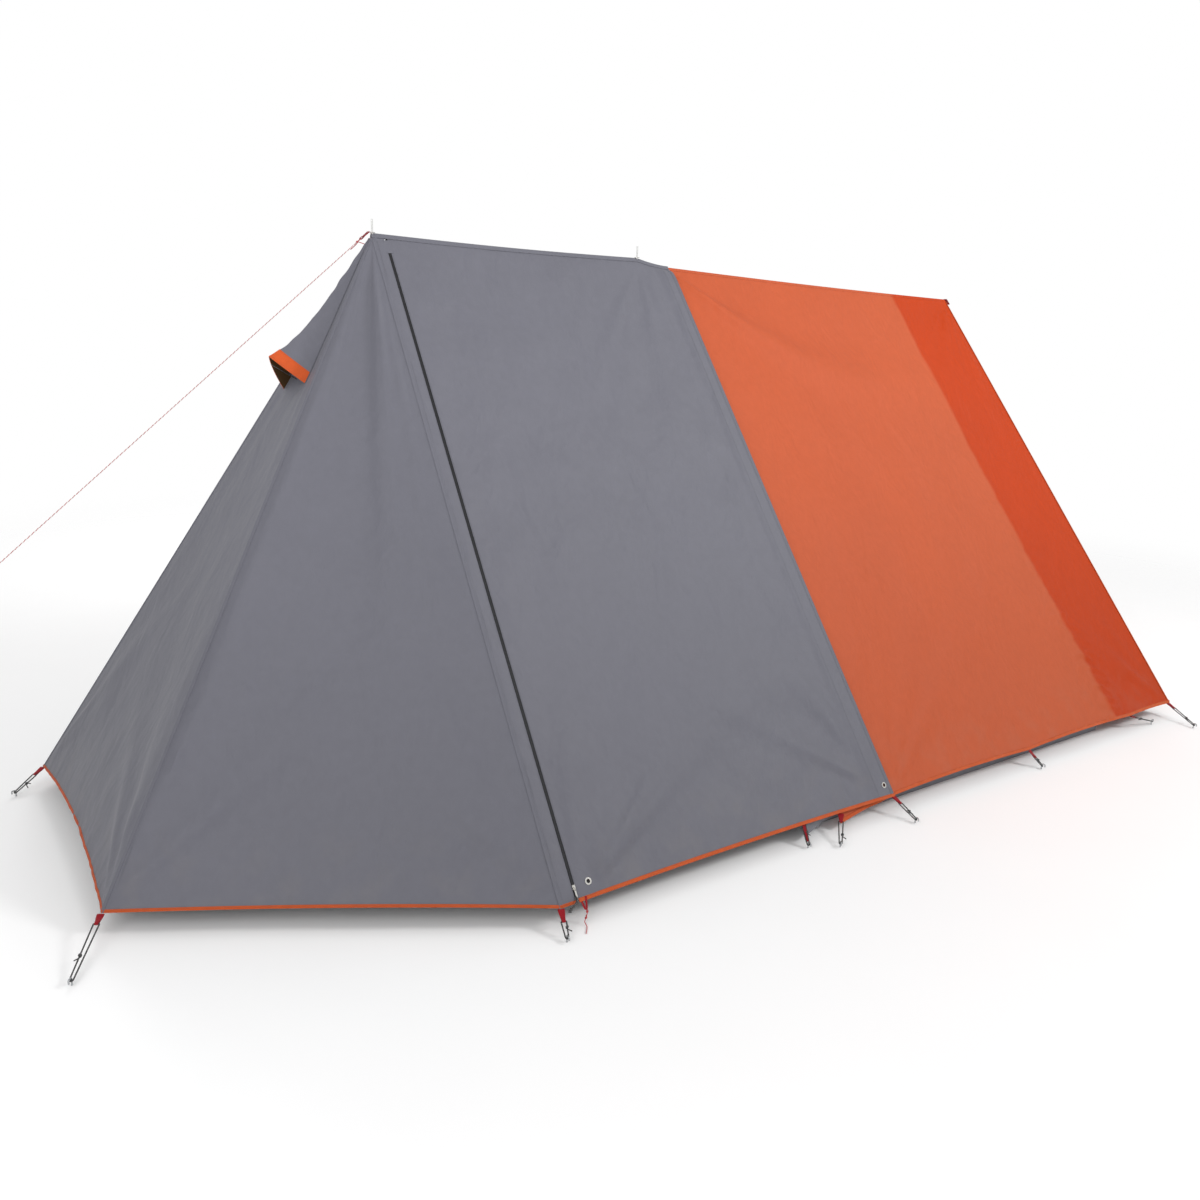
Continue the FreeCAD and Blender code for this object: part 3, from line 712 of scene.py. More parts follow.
# Painted shade: the rim band's inner face is coloured dark olive-brown for the shade under the hood.
RIM_INSIDE_SHADE = band_cloth("vent_rim_inside_shade", rgba(92, 66, 36), sheen=0.0)
ZIP_TAPE_CLOTH = band_cloth("black_zip_tape", rgba(30, 30, 34), rib=0.0009, on_grid=False)
COIL = moulded("nylon_zip_coil", rgba(26, 26, 29))
GREY_THREAD = band_cloth("grey_thread", rgba(96, 96, 104), rib=0.0007)
ORANGE_THREAD = band_cloth("orange_thread", rgba(170, 74, 44), rib=0.0007)
RED_WEBBING = band_cloth("red_webbing", rgba(140, 8, 24), rib=0.0015, sheen=0.04)
NICKEL = metal("nickel_plate", rgba(205, 203, 198), rough=0.2)
STEEL = metal("galvanised_steel", rgba(176, 178, 180), rough=0.38, brushed=(1.0, 1.0, 0.1))
SPIKE_STEEL = metal("bright_spike_steel", rgba(214, 214, 212), rough=0.3, brushed=(1.0, 1.0, 0.1))
POLE_PAINT = painted_metal("pole_powder_coat", rgba(70, 71, 74))
PLASTIC = moulded("black_plastic", rgba(30, 30, 32))
ELASTIC = braided("black_elastic_cord", rgba(24, 24, 26), rgba(190, 188, 184), share=0.12)
RED_CORD = braided("red_cord", rgba(176, 26, 38), rgba(205, 80, 86), share=0.2)
WHITE_CORD = braided("white_cord", rgba(232, 226, 222), rgba(200, 190, 188), share=0.2)
NET = moulded("black_net", rgba(30, 30, 33))
GROUND_CLOTH = woven_sheet("grey_groundsheet", rgba(104, 105, 112))
INNER_CLOTH = fly_cloth("inner_tent_cloth", rgba(188, 188, 190), glow=0.3, gloss=0.6)


# ---- The porch: one sheet from the near zip round the front to the far zip

APEX = np.array((FRONT_POLE, 0.0, RIDGE))
FRONT_DOWN = unit(np.array((FRONT_HEM, 0.0, HEM)) - APEX)
FRONT_OUT = np.array((FRONT_DOWN[2], 0.0, -FRONT_DOWN[0]))
ROWS = round(SLOPE / CELL)
HOLE_TOP = (RIDGE - high("vent_mesh").z) / -FRONT_DOWN[2] + 0.010
HOLE_FOOT = (RIDGE - low("vent_mesh").z) / -FRONT_DOWN[2] - 0.010
HOLE_HALF = (0.012, high("vent_mesh").y - 0.008)
FRONT_ARCH = 0.035      # the front hem's middle lies this far up the panel


def between(a, b, share):
    return a + (b - a) * np.asarray(share)[..., None]


def grid_of(columns, rows=ROWS):
    return np.meshgrid(np.linspace(0, 1, columns + 1), np.linspace(0, 1, rows + 1))


def fold_foot(side):
    return np.array((FOLD[1], side * HALF, HEM))


def front_foot(side):
    return np.array((FRONT_HEM, side * FRONT_HALF, HEM))


def side_panel(side, s, t, out=0.0):
    """The triangle between the front fold (s = 0) and the front panel (s = 1); t runs down from the apex."""
    a, b = fold_foot(side), front_foot(side)
    width = np.linalg.norm(b - a)
    u, v = (s - 0.5) * t * width, t * SLOPE
    seed = 11 if side < 0 else 23
    edge = np.minimum(s, 1 - s) * t * width
    relief = dish(s, t, 0.010, ease_t=0.8) + fans(
        u, v, seed,
        (0, (0, -0.02), 90, 17, 6, 0.45, 0.0130),
        (5, (0, -0.02), 79, 4, 3, 0.50, 0.0090),
        (6, (0, -0.02), 98, 5, 3, 0.42, 0.0060),
        (1, (width / 2, SLOPE), -118, 24, 5, 0.28, 0.0080),
        (2, (-width / 2, SLOPE), -62, 20, 4, 0.22, 0.0045))
    relief = relief + 0.0016 * ripples(u, v, seed + 3, 0.7, 0.16) + hem_pucker(u, v - SLOPE, seed + 4)
    reach = t * (1 - HEM_SCALLOP / SLOPE * bay(s))
    points = APEX + (between(a, b, s) - APEX) * reach[..., None]
    return points + side_normal(side) * (relief * smooth(edge / 0.04) + out)[..., None]


def hem_pucker(u, height, seed):
    """Small gathers where a binding is sewn on; height is measured from the hem, negative above it."""
    return 0.0011 * ripples(u, height * 0.25, seed, 0.11, 0.035) * np.exp(height / 0.05)


def front_panel(s, t, out=0.0):
    """The triangle under the vent: s runs from the near edge to the far one, t down from the apex."""
    half = FRONT_HALF * t
    down = t * (1 - FRONT_ARCH / FRONT_SLOPE * bay(s)) * FRONT_SLOPE
    u, v = (2 * s - 1) * half, t * FRONT_SLOPE
    edge = np.minimum(s, 1 - s) * 2 * half
    relief = dish(s, t, 0.008) + fans(
        u, v, 31,
        (0, (0, 0), 90, 13, 5, 0.25, 0.004),
        (1, (-FRONT_HALF, FRONT_SLOPE), -60, 22, 4, 0.25, 0.006),
        (2, (FRONT_HALF, FRONT_SLOPE), -120, 22, 4, 0.25, 0.006))
    relief = relief + 0.0014 * ripples(u, v, 34, 0.6, 0.15) + hem_pucker(u, v - FRONT_SLOPE, 35)
    points = APEX + FRONT_DOWN * down[..., None] + SIDEWAYS * u[..., None]
    return points + FRONT_OUT * (relief * smooth(edge / 0.06) + out)[..., None]


def facing(side, s, t):
    """The strip between the front fold (s = 0) and the zip (s = 1)."""
    down = t * SLOPE
    start, end = on(FOLD, down), on(FRONT_ZIP, down) - ZIP_EDGE
    puff = 0.0014 * np.sin(math.pi * s) * (1 + 0.5 * ripples(s * 0.05, down, 41, 0.5, 0.12))
    return roof(side, start + (end - start) * s, down, puff * smooth(t / 0.03))


def hole_half(down):
    """Half the width of the vent's opening at a distance down the front panel."""
    return HOLE_HALF[0] + (HOLE_HALF[1] - HOLE_HALF[0]) * (down - HOLE_TOP) / (HOLE_FOOT - HOLE_TOP)


def vent_columns(rows):
    """The front panel's columns: they close in on the vent's opening, which takes the middle ones."""
    side_columns, mid_columns = 30, 8
    down = np.clip(np.linspace(0, 1, rows + 1) * FRONT_SLOPE, HOLE_TOP, HOLE_FOOT)
    spread = (hole_half(down) / (2 * FRONT_HALF * down / FRONT_SLOPE))[:, None]
    left = np.linspace(0, 1, side_columns + 1)[None, :-1] * (0.5 - spread)
    mid = 0.5 + np.linspace(-1, 1, mid_columns + 1)[None] * spread
    s = np.concatenate((left, mid, 1 - left[:, ::-1]), axis=1)
    t = np.broadcast_to(np.linspace(0, 1, rows + 1)[:, None], s.shape)
    skip = np.zeros((rows, s.shape[1] - 1), bool)
    first = round(HOLE_TOP / FRONT_SLOPE * rows)
    last = round(HOLE_FOOT / FRONT_SLOPE * rows)
    skip[first:last, side_columns:side_columns + mid_columns] = True
    return s, t, skip


def make_porch():
    s, t, skip = vent_columns(ROWS)
    uv = np.stack(((s - 0.5) * t * 2 * FRONT_HALF, t * FRONT_SLOPE), -1)
    patches = [patch(front_panel(s, t), uv, FRONT_OUT, skip)]
    for _, side in SIDES:
        s, t = grid_of(52)
        width = np.linalg.norm(front_foot(side) - fold_foot(side))
        uv = np.stack((s * t * width, t * SLOPE), -1)
        patches.append(patch(side_panel(side, s, t), uv, (-0.5, side, 0.3)))
        s, t = grid_of(4)
        uv = np.stack((s * 0.05, t * SLOPE), -1)
        patches.append(patch(facing(side, s, t), uv, roof_normal(side)))
    sheet = cloth("fly_porch", patches, GREY)
    place(sheet, "root", "grey_fly", "front_panel", "front_side_near", "front_side_far",
          "zip_facing_near", "zip_facing_far")

    hems, seams, thread, hem_thread = Batch(), Batch(), Batch(), Batch()
    across = np.linspace(0, 1, 90)
    down = np.linspace(0.012, 1, 170)
    for path, normal in hem_paths(across):
        hems.sweep(path, normal, band_section(PORCH_BINDING), toward=UP)
        hem_thread.stitches(path + UP * (PORCH_BINDING - STITCH_INSET), normal, lift=BINDING_OUT)
    for _, side in SIDES:
        slope = down * SLOPE
        fold = APEX + (fold_foot(side) - APEX) * down[:, None]
        seams.sweep(fold, unit(roof_normal(side) + side_normal(side)), seam_section(-0.002, 0.0007))
        edge = APEX + (front_foot(side) - APEX) * down[:, None]
        seams.sweep(edge, unit(FRONT_OUT + side_normal(side)), seam_section(-0.003, 0.0006))
        for gap in (0.004, 0.009):
            thread.stitches(roof(side, on(FOLD, slope) + gap, slope, 0.0003), roof_normal(side), 0.0003)
        zip_side = roof(side, on(FRONT_ZIP, slope) - ZIP_EDGE - STITCH_INSET, slope, 0.0002)
        thread.stitches(zip_side, roof_normal(side), 0.0002)
        thread.stitches(side_panel(side, np.full_like(down, 0.988), down, 0.0002), side_normal(side), 0.0002)
    place(hems.build("porch_hem_binding", BINDING_TAPE), "root", "orange_binding", "front_binding")
    place(seams.build("porch_seams", GREY), "root", "grey_fly")
    place(thread.build("porch_stitching", GREY_THREAD), "root", "grey_fly")
    place(hem_thread.build("porch_hem_stitching", ORANGE_THREAD), "root", "orange_binding")


def side_normal(side):
    normal = unit(np.cross(fold_foot(side) - APEX, front_foot(side) - APEX))
    return normal * (1 if normal[1] * side > 0 else -1)


def hem_paths(across):
    """The hem of the front, of each side panel and of each facing, with their normals."""
    one = np.ones_like(across)
    yield front_panel(across, one), FRONT_OUT
    for _, side in SIDES:
        yield side_panel(side, across, one), side_normal(side)
        yield facing(side, np.linspace(0, 1, 8), np.ones(8)), roof_normal(side)


# ---- The lifting doors

def ridge_dip(x):
    """How far the ridge lies below its poles' height between the front pole and the cabin."""
    sag = RIDGE_SAG * np.sin(math.pi * np.clip((x - FRONT_POLE) / (MID_POLE - FRONT_POLE), 0, 1))
    past = np.clip((x - MID_POLE) / (SEAM[0] - MID_POLE), 0, 1)
    return sag + SEAM_DIP * (1 - (1 - past) ** 1.7)


def door_relief(side, x, down):
    """The door's sag and creases, which fade out at its zips, its eyelet and the ridge."""
    front, rear = on(FRONT_ZIP, down) + ZIP_EDGE, on(REAR_ZIP, down)
    share = np.clip((x - front) / (rear - front), 0, 1)
    fall = np.clip(down / SLOPE, 0, 1)
    seed = 51 if side < 0 else 71
    relief = dish(share, fall, PANEL_SAG, 0.9, 0.8) + fans(
        x, down, seed,
        (0, (MID_POLE, 0.0), 96, 30, 6, 0.30, 0.0042),
        (1, (FRONT_POLE, -0.02), 66, 22, 5, 0.40, 0.0040),
        (2, (FRONT_ZIP[1], SLOPE), -52, 26, 5, 0.20, 0.0085),
        (3, (SEAM[1], SLOPE), -126, 26, 5, 0.22, 0.0085))
    relief = relief + 0.0024 * ripples(x, down, seed + 4, 0.8, 0.17) + hem_pucker(x, down - SLOPE, seed + 5)
    zips = smooth((x - front) / 0.05) * smooth((rear - 0.045 - x) / 0.06)
    eyelets = smooth((np.hypot(x - FRONT_ZIP[1] - 0.045, down - SLOPE + 0.042) - 0.012) / 0.04)
    return relief * zips * eyelets * smooth((down - 0.02) / 0.08)


def door(side, x, down, out=0.0):
    """The door's cloth: it sags between the ridge and the hem and stands over the rear zip at its back."""
    rear = on(REAR_ZIP, down)
    lift = FLAP_OUT * smooth((x - rear + FLAP_START + 0.022) / 0.022) * smooth((down - 0.012) / 0.032)
    dip = ridge_dip(x)
    shoulder = np.where(x > MID_POLE, 0.042, 0.25)
    drop = dip * np.exp(-(down / shoulder) ** 2)
    points = roof(side, x, down, door_relief(side, x, down) + lift + out)
    points[..., 2] -= drop
    return points


def door_hem(share):
    """x and distance down at the door's hem, which rises a little between its corners."""
    start, end = FRONT_ZIP[1] + ZIP_EDGE, SEAM[1]
    return start + (end - start) * share, SLOPE - DOOR_SCALLOP * bay(share)


def door_grid(columns):
    s, t = grid_of(columns)
    _, reach = door_hem(s)
    down = t * reach
    start, end = on(FRONT_ZIP, down) + ZIP_EDGE, on(SEAM, down)
    return start + (end - start) * s, down


EYELET_HOLE = 0.0062    # radius of the hole under an eyelet's ring


def punch(obj, centres, normal, radius):
    """Cuts round holes through a sheet."""
    for centre in centres:
        cutter = Batch()
        path = centre + normal * np.array((-0.02, 0.0, 0.02))[:, None]
        cutter.sweep(path, REARWARD, round_section(radius, 24))
        tool = cutter.build("cutter", PLASTIC)
        modifier = obj.modifiers.new("hole", "BOOLEAN")
        modifier.object = tool
        modifier.solver = "EXACT"
        apply_modifiers(obj)
        bpy.data.objects.remove(tool)


def eyelet_centres(name):
    """The middles of a door's eyelets, the front one first."""
    rings = solids("door_eyelets_" + name)
    return [(ring.min(0) + ring.max(0)) / 2 for ring in sorted(rings, key=lambda ring: ring.mean(0)[0])]


def bend_at_ridge(obj, side, body, slot, *replaced):
    """Bakes the sheet's placement into its mesh and hides the CAD nodes that it replaces."""
    tuple(roof(side, 0.0, HINGE_START))
    tuple(roof(side, 0.0, HINGE_END))
    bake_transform(obj)
    return tag(obj, slot, *replaced)


def make_door(name, side):
    body = "door_" + name
    normal = roof_normal(side)
    x, down = door_grid(96)
    uv = np.stack((x, down), -1)
    sheet = cloth("fly_door_" + name, [patch(door(side, x, down), uv, normal)], GREY)
    punch(sheet, eyelet_centres(name), normal, EYELET_HOLE)
    bend_at_ridge(sheet, side, body, "grey_fly", "door_" + name, "rear_flap_" + name)

    x, down = door_hem(np.linspace(0.0, 1.0, 110))
    bound, hem_thread = Batch(), Batch()
    bound.sweep(door(side, x, down), normal, band_section(BINDING), toward=UP)
    binding = bound.build("door_hem_binding_" + name, BINDING_TAPE)
    place(binding, body, "orange_binding", "door_binding_" + name)
    hem_thread.stitches(door(side, x, down - BINDING + STITCH_INSET, BINDING_OUT), normal)
    place(hem_thread.build("door_hem_stitching_" + name, ORANGE_THREAD), body, "orange_binding")

    down = np.linspace(0.014, SLOPE - 0.004, 200)
    thread = Batch()
    for inset in (0.003, 0.011):
        thread.stitches(door(side, on(SEAM, down) - inset, down, 0.0010), normal)
    lower = np.linspace(0.066, SLOPE - 0.004, 200)
    thread.stitches(door(side, on(FRONT_ZIP, lower) + ZIP_EDGE + STITCH_INSET, lower, 0.0002), normal)
    thread.stitches(door(side, on(REAR_ZIP, down) - FLAP_START + 0.004, down, 0.0002), normal)
    bend_at_ridge(thread.build("door_stitching_" + name, GREY_THREAD), side, body, "grey_fly")

    turned = Batch()
    section = flat_section(-0.0072, 0.0072, -0.0016, 0.0008)
    turned.sweep(door(side, on(SEAM, down) - 0.007, down), normal, section)
    bend_at_ridge(turned.build("door_rear_edge_" + name, GREY), side, body, "grey_fly")

    patch_down = np.linspace(0.018, 0.061, 12)
    top = Batch()
    path = door(side, on(FRONT_ZIP, patch_down) + ZIP_EDGE, patch_down) - REARWARD * ZIP_EDGE
    top.sweep(path, normal, flat_section(-0.011, 0.011, 0.0002, 0.0011))
    bend_at_ridge(top.build("zip_end_patch_" + name, GREY), side, body, "grey_fly")


def make_ridge_tape():
    """A folded tape sewn over the ridge, following its sag."""
    x = np.linspace(FRONT_POLE - 0.004, SEAM[0], 80)
    tape, thread = Batch(), Batch()
    peak = (SLOPE / HALF) * 0.0012
    path = np.stack((x, np.zeros_like(x), RIDGE - ridge_dip(x) + peak), -1)
    fall = TAPE_WIDTH * RISE / SLOPE
    reach = TAPE_WIDTH * HALF / SLOPE
    section = [(-reach, -fall), (-0.0022, -0.0022), (0.0, 0.0), (0.0022, -0.0022), (reach, -fall),
               (reach - 0.0009, -fall - 0.0007), (0.0, -0.0018), (-reach + 0.0009, -fall - 0.0007)]
    tape.sweep(path, UP, section)
    place(tape.build("ridge_tape_cover", GREY), "root", "grey_fly", "ridge_tape")
    for _, side in SIDES:
        thread.stitches(door(side, x[1:], np.full(len(x) - 1, TAPE_WIDTH - 0.002), 0.0014), roof_normal(side))
    place(thread.build("ridge_stitching", GREY_THREAD), "root", "grey_fly")


# ---- Zips

# A tooth from its root to its tip: reach across the zip, half its width, bottom and top.
TOOTH_RINGS = ((-0.0008, 0.00042, -0.0011, 0.0001), (0.0006, 0.0005, -0.0014, 0.00045),
               (0.0027, 0.0004, -0.0014, 0.0004))


def zip_path(line, side):
    """The middle of a zip's teeth, from a little below the ridge to just above the hem."""
    down = np.linspace(0.060, SLOPE - 0.014, 60)
    return roof(side, on(line, down), down)


def teeth_on(name, path, normal, direction, body):
    """Nylon teeth on one half of a zip; the other half's teeth sit between them."""
    places, axes = stations(path, normal, TOOTH_PITCH)
    if direction < 0:
        axes[:, 1] *= -1
    places = places + axes[:, 0] * 0.25 * TOOTH_PITCH * direction
    template = [(along, reach, out) for reach, wide, bottom, top in TOOTH_RINGS
                for along, out in ((-wide, bottom), (wide, bottom), (wide, top), (-wide, top))]
    teeth = Batch()
    teeth.scatter(template, box_faces(3, 4), places, axes)
    place(teeth.build(name, COIL), body, "zip_tape")


def make_zips():
    for name, side in SIDES:
        normal, body = roof_normal(side), "door_" + name
        front, rear = zip_path(FRONT_ZIP, side), zip_path(REAR_ZIP, side)
        teeth_on("front_zip_teeth_fixed_" + name, front, normal, side, "root")
        teeth_on("front_zip_teeth_door_" + name, front, normal, -side, body)
        teeth_on("rear_zip_teeth_fixed_" + name, rear, normal, -side, "root")
        teeth_on("rear_zip_teeth_door_" + name, rear, normal, side, body)


# ---- The cabin: two sides that meet at the ridge, and the rear

REAR_EDGE = (REAR_APEX, REAR_HEM)
CABIN_ROWS = 220
CREASES_FROM = 0.50     # the shaded strip's creases start this far above the hem
UNDER_DOOR = 0.016      # the cabin's cloth keeps this far below the door that overlaps it


def cabin_ridge(x):
    """Height of the cabin's ridge: it sags between the seam and the rear apex."""
    share = np.clip((x - SEAM[0]) / (REAR_APEX - SEAM[0]), 0, 1)
    start = RIDGE - SEAM_DIP - 0.0015
    return start + (REAR_RIDGE - start) * share - CABIN_SAG * np.sin(math.pi * share)


def cabin_hem(x):
    return HEM - EAVES_DROP * np.clip((SEAM[1] + 0.01 - x) / (SEAM[1] - CABIN_FRONT[1]), 0, 1)


def shade_creases(past, down, seed):
    """Short creases from the edge of the shaded strip towards the rear corner, strongest near the foot."""
    rng = np.random.default_rng(seed)
    relief = 0.0
    for step in np.linspace(0, 1, 10):
        start = SLOPE - CREASES_FROM + 0.44 * step ** 0.85 + rng.uniform(-0.008, 0.008)
        slant = 0.85 - 0.35 * step
        length = rng.uniform(0.09, 0.20)
        width = rng.uniform(0.010, 0.015)
        along = smooth(past / 0.03 + 0.6) * smooth((length - past) / 0.10)
        sway = 0.006 * np.sin(past * 40 + rng.uniform(0, 6))
        height = 0.0110 * rng.uniform(0.5, 1.0) * (0.35 + 0.65 * step)
        relief = relief + height * along * bump(down, start + slant * past + sway, width)
    return relief


def cabin_side(side, s, t, out=0.0):
    """One side of the cabin: s runs rearwards, t down from the ridge."""
    top_x = CABIN_FRONT[0] + (REAR_APEX - CABIN_FRONT[0]) * s
    foot_x = CABIN_FRONT[1] + (REAR_HEM - CABIN_FRONT[1]) * s
    x = top_x + (foot_x - top_x) * t
    down = t * SLOPE
    top = np.stack((top_x, np.zeros_like(top_x), cabin_ridge(top_x)), -1)
    foot_half = CABIN_HALF + (HEM - cabin_hem(foot_x)) * HALF / RISE
    foot = np.stack((foot_x, side * foot_half, cabin_hem(foot_x)), -1)
    points = top + (foot - top) * (t * (1 - cabin_bays(foot_x) / SLOPE))[..., None]

    seed = 91 if side < 0 else 111
    past_seam = (x - on(SEAM, down)) / (on(REAR_EDGE, down) - on(SEAM, down))
    relief = dish(np.clip(past_seam, 0, 1), t, PANEL_SAG * 1.2, 0.9, 0.8)
    relief = relief + pleats(x, down, (SEAM[0] - 0.01, 0.0), 52, 16, 3, 0.42, 0.0075, seed, curl=-0.35)
    relief = relief + fans(
        x, down, seed,
        (1, (REAR_APEX, 0.0), 112, 26, 6, 0.16, 0.0045),
        (2, (REAR_HEM, SLOPE), -118, 26, 6, 0.26, 0.0065),
        (3, (SEAM[1], SLOPE), -58, 26, 5, 0.26, 0.0060),
        (8, (REAR_APEX - 0.05, 0.05), 80, 60, 9, 0.06, 0.0060))
    relief = relief + 0.0020 * ripples(x, down, seed + 4, 0.9, 0.18) + hem_pucker(x, down - SLOPE, seed + 6)
    shade = SHADE_LINE[0] + SHADE_LINE[1] * points[..., 2]
    crumple = 0.0016 * ripples(x, down, seed + 5, 0.09, 0.03) * smooth(t * 2 - 0.6)
    relief = relief + 0.0022 * bump(x, shade, 0.020) + crumple * bump(x, shade, 0.10)
    relief = relief + shade_creases(x - shade, down, seed + 7) * smooth((1 - t) / 0.02)
    hold = smooth(past_seam / 0.03 + 0.15) * smooth((1 - s) / 0.035) * smooth(t / 0.02)
    under_door = -UNDER_DOOR * smooth((on(REAR_ZIP, down) - 0.018 - x) / 0.05) * smooth(t / 0.05)
    return points + roof_normal(side) * (relief * hold + under_door + out)[..., None]


def cabin_pegs():
    """x of the tabs along the cabin's near hem, in order."""
    tops = np.array([ends(tab)[0] for tab in solids("webbing_tabs")])
    near = (tops[:, 1] < -HALF * 0.9) & (tops[:, 2] < HEM) & (tops[:, 0] > CABIN_FRONT[1] - 0.03)
    return sorted(tops[near, 0])


CABIN_PEGS = cabin_pegs()


def cabin_bays(x):
    """How far the hem rises between one peg and the next."""
    rise = np.zeros_like(x)
    for start, end in zip(CABIN_PEGS, CABIN_PEGS[1:]):
        share = np.clip((x - start) / (end - start), 0, 1)
        rise = rise + HEM_SCALLOP * min(1.0, (end - start) / 0.6) * bay(share)
    return rise


def cabin_rear(s, t):
    """The cabin's rear end: s runs from the near edge to the far one, t down from the apex."""
    apex = np.array((REAR_APEX, 0.0, float(cabin_ridge(REAR_APEX))))
    near = np.array((REAR_HEM, -CABIN_HALF, HEM))
    far = np.array((REAR_HEM, CABIN_HALF, HEM))
    normal = unit(np.cross(far - apex, near - apex))
    normal = normal * np.sign(normal[0])
    width, height = 2 * CABIN_HALF, np.linalg.norm((near + far) / 2 - apex)
    u, v = (s - 0.5) * width * t, t * height
    edge = np.minimum(s, 1 - s) * width * t
    relief = dish(s, t, 0.012) + fans(
        u, v, 131,
        (0, (0, 0), 90, 26, 7, 0.4, 0.006),
        (1, (-width / 2, height), -44, 22, 5, 0.3, 0.007),
        (2, (width / 2, height), -136, 22, 5, 0.3, 0.007))
    relief = relief + 0.0018 * ripples(u, v, 134, 0.8, 0.18) + hem_pucker(u, v - height, 135)
    reach = t * (1 - HEM_SCALLOP / height * bay(np.abs(2 * s - 1)))
    points = apex + (between(near, far, s) - apex) * reach[..., None]
    return points + normal * (relief * smooth(edge / 0.07))[..., None]


def rear_normal():
    down = np.array((REAR_HEM - REAR_APEX, 0.0, HEM - REAR_RIDGE))
    return unit(np.array((-down[2], 0.0, down[0])))


def make_cabin():
    s, t = grid_of(160, CABIN_ROWS)
    for name, side in SIDES:
        uv = np.stack((s * (REAR_HEM - CABIN_FRONT[1]), side * t * SLOPE), -1)
        sheet = cloth("fly_cabin_" + name, [patch(cabin_side(side, s, t), uv, roof_normal(side))], ORANGE)
        place(sheet, "root", "orange_fly", "cabin_" + name)
    s, t = grid_of(110, CABIN_ROWS)
    uv = np.stack(((s - 0.5) * t * 2 * CABIN_HALF, t * SLOPE), -1)
    sheet = cloth("fly_cabin_rear", [patch(cabin_rear(s, t), uv, (1, 0, 0.3))], ORANGE)
    place(sheet, "root", "orange_fly", "cabin_rear")

    hems, thread = Batch(), Batch()
    share = np.linspace(0, 1, 160)
    one = np.ones_like(share)
    section = flat_section(-0.001, 0.011, -0.0010 - FABRIC, 0.0009)
    row, lift = 0.009, 0.0009
    for _, side in SIDES:
        hem = cabin_side(side, share, one)
        hems.sweep(hem, roof_normal(side), section, toward=UP)
        thread.stitches(hem - roof_fall(side) * row, roof_normal(side), lift)
        edge = cabin_side(side, one, share)[1:]
        hems.sweep(edge, unit(roof_normal(side) + rear_normal()), seam_section(-0.003, 0.0007))
        thread.stitches(cabin_side(side, one - 0.004, share, 0.0003)[2:], roof_normal(side))
        x = np.linspace(0.06, 0.99, 120)
        thread.stitches(cabin_side(side, x, np.full_like(x, 0.006), 0.0004), roof_normal(side))
    rear = cabin_rear(share, one)
    hems.sweep(rear, rear_normal(), section, toward=UP)
    thread.stitches(rear + UP * row, rear_normal(), lift)
    place(hems.build("cabin_hems_and_seams", BINDING_TAPE), "root", "orange_fly")
    place(thread.build("cabin_stitching", ORANGE_THREAD), "root", "orange_fly")


# ---- The vent: a hood propped off the front panel, its rim and the net behind it

HOOD_TIP = corner("vent_hood", *FRONT_OUT) - APEX
HOOD_FOOT = corner("vent_hood", *(FRONT_DOWN + SIDEWAYS)) - APEX
HOOD_CREST, HOOD_OUT = HOOD_TIP @ FRONT_DOWN, HOOD_TIP @ FRONT_OUT
HOOD_SIDE, HOOD_HALF = HOOD_FOOT @ FRONT_DOWN, HOOD_FOOT[1]
HOOD_LEAN = (0.028, 0.020)   # the hood's far corner is pulled this far down and outwards
RIM_WIDTH = 0.032
NET_PITCH = 0.0030
NET_MARGIN = 0.005           # the net reaches this far under the edge of its opening


def on_front(down, y, out=0.0):
    """Points on the front panel's cloth, or `out` from it."""
    down, y = np.broadcast_arrays(np.asarray(down, float), y)
    t = down / FRONT_SLOPE
    for _ in range(3):
        s = 0.5 + y / (2 * FRONT_HALF * t)
        t = down / FRONT_SLOPE / (1 - FRONT_ARCH / FRONT_SLOPE * bay(s))
    return front_panel(s, t, out)


def hood(q, b, out=0.0):
    """The hood's cloth: q runs from the near seam (-1) over the crest to the far seam (1), b from the apex
    to the rim. It flares towards the rim."""
    rise = 0.52 * b + 0.46 * b ** 5
    arch = 1 - np.abs(q) ** 1.2
    down = b * (HOOD_CREST + (HOOD_SIDE - HOOD_CREST) * np.abs(q))
    crease = 0.0016 * ripples(q * 0.05 * b, down, 151, 0.12, 0.04)
    crease = crease * (1 - q ** 2) * smooth((1 - b) / 0.1 + 0.25)
    lean = np.clip(q, 0, 1) * b ** 3
    down, y = down + HOOD_LEAN[0] * lean, q * b * HOOD_HALF + HOOD_LEAN[1] * lean
    flat = APEX + FRONT_DOWN * down[..., None] + SIDEWAYS * y[..., None]
    base = flat + (on_front(down, y) - flat) * np.abs(q)[..., None] ** 3
    return base + FRONT_OUT * (0.0012 + HOOD_OUT * rise * arch + crease + out)[..., None]


def flatten_with_prop(obj, slot, *replaced):
    """Attaches the hood's cloth to the root body, gives it its own mesh and hides the CAD nodes that it
    replaces.
    """
    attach(obj, "root")
    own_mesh(obj)
    return tag(obj, slot, *replaced)


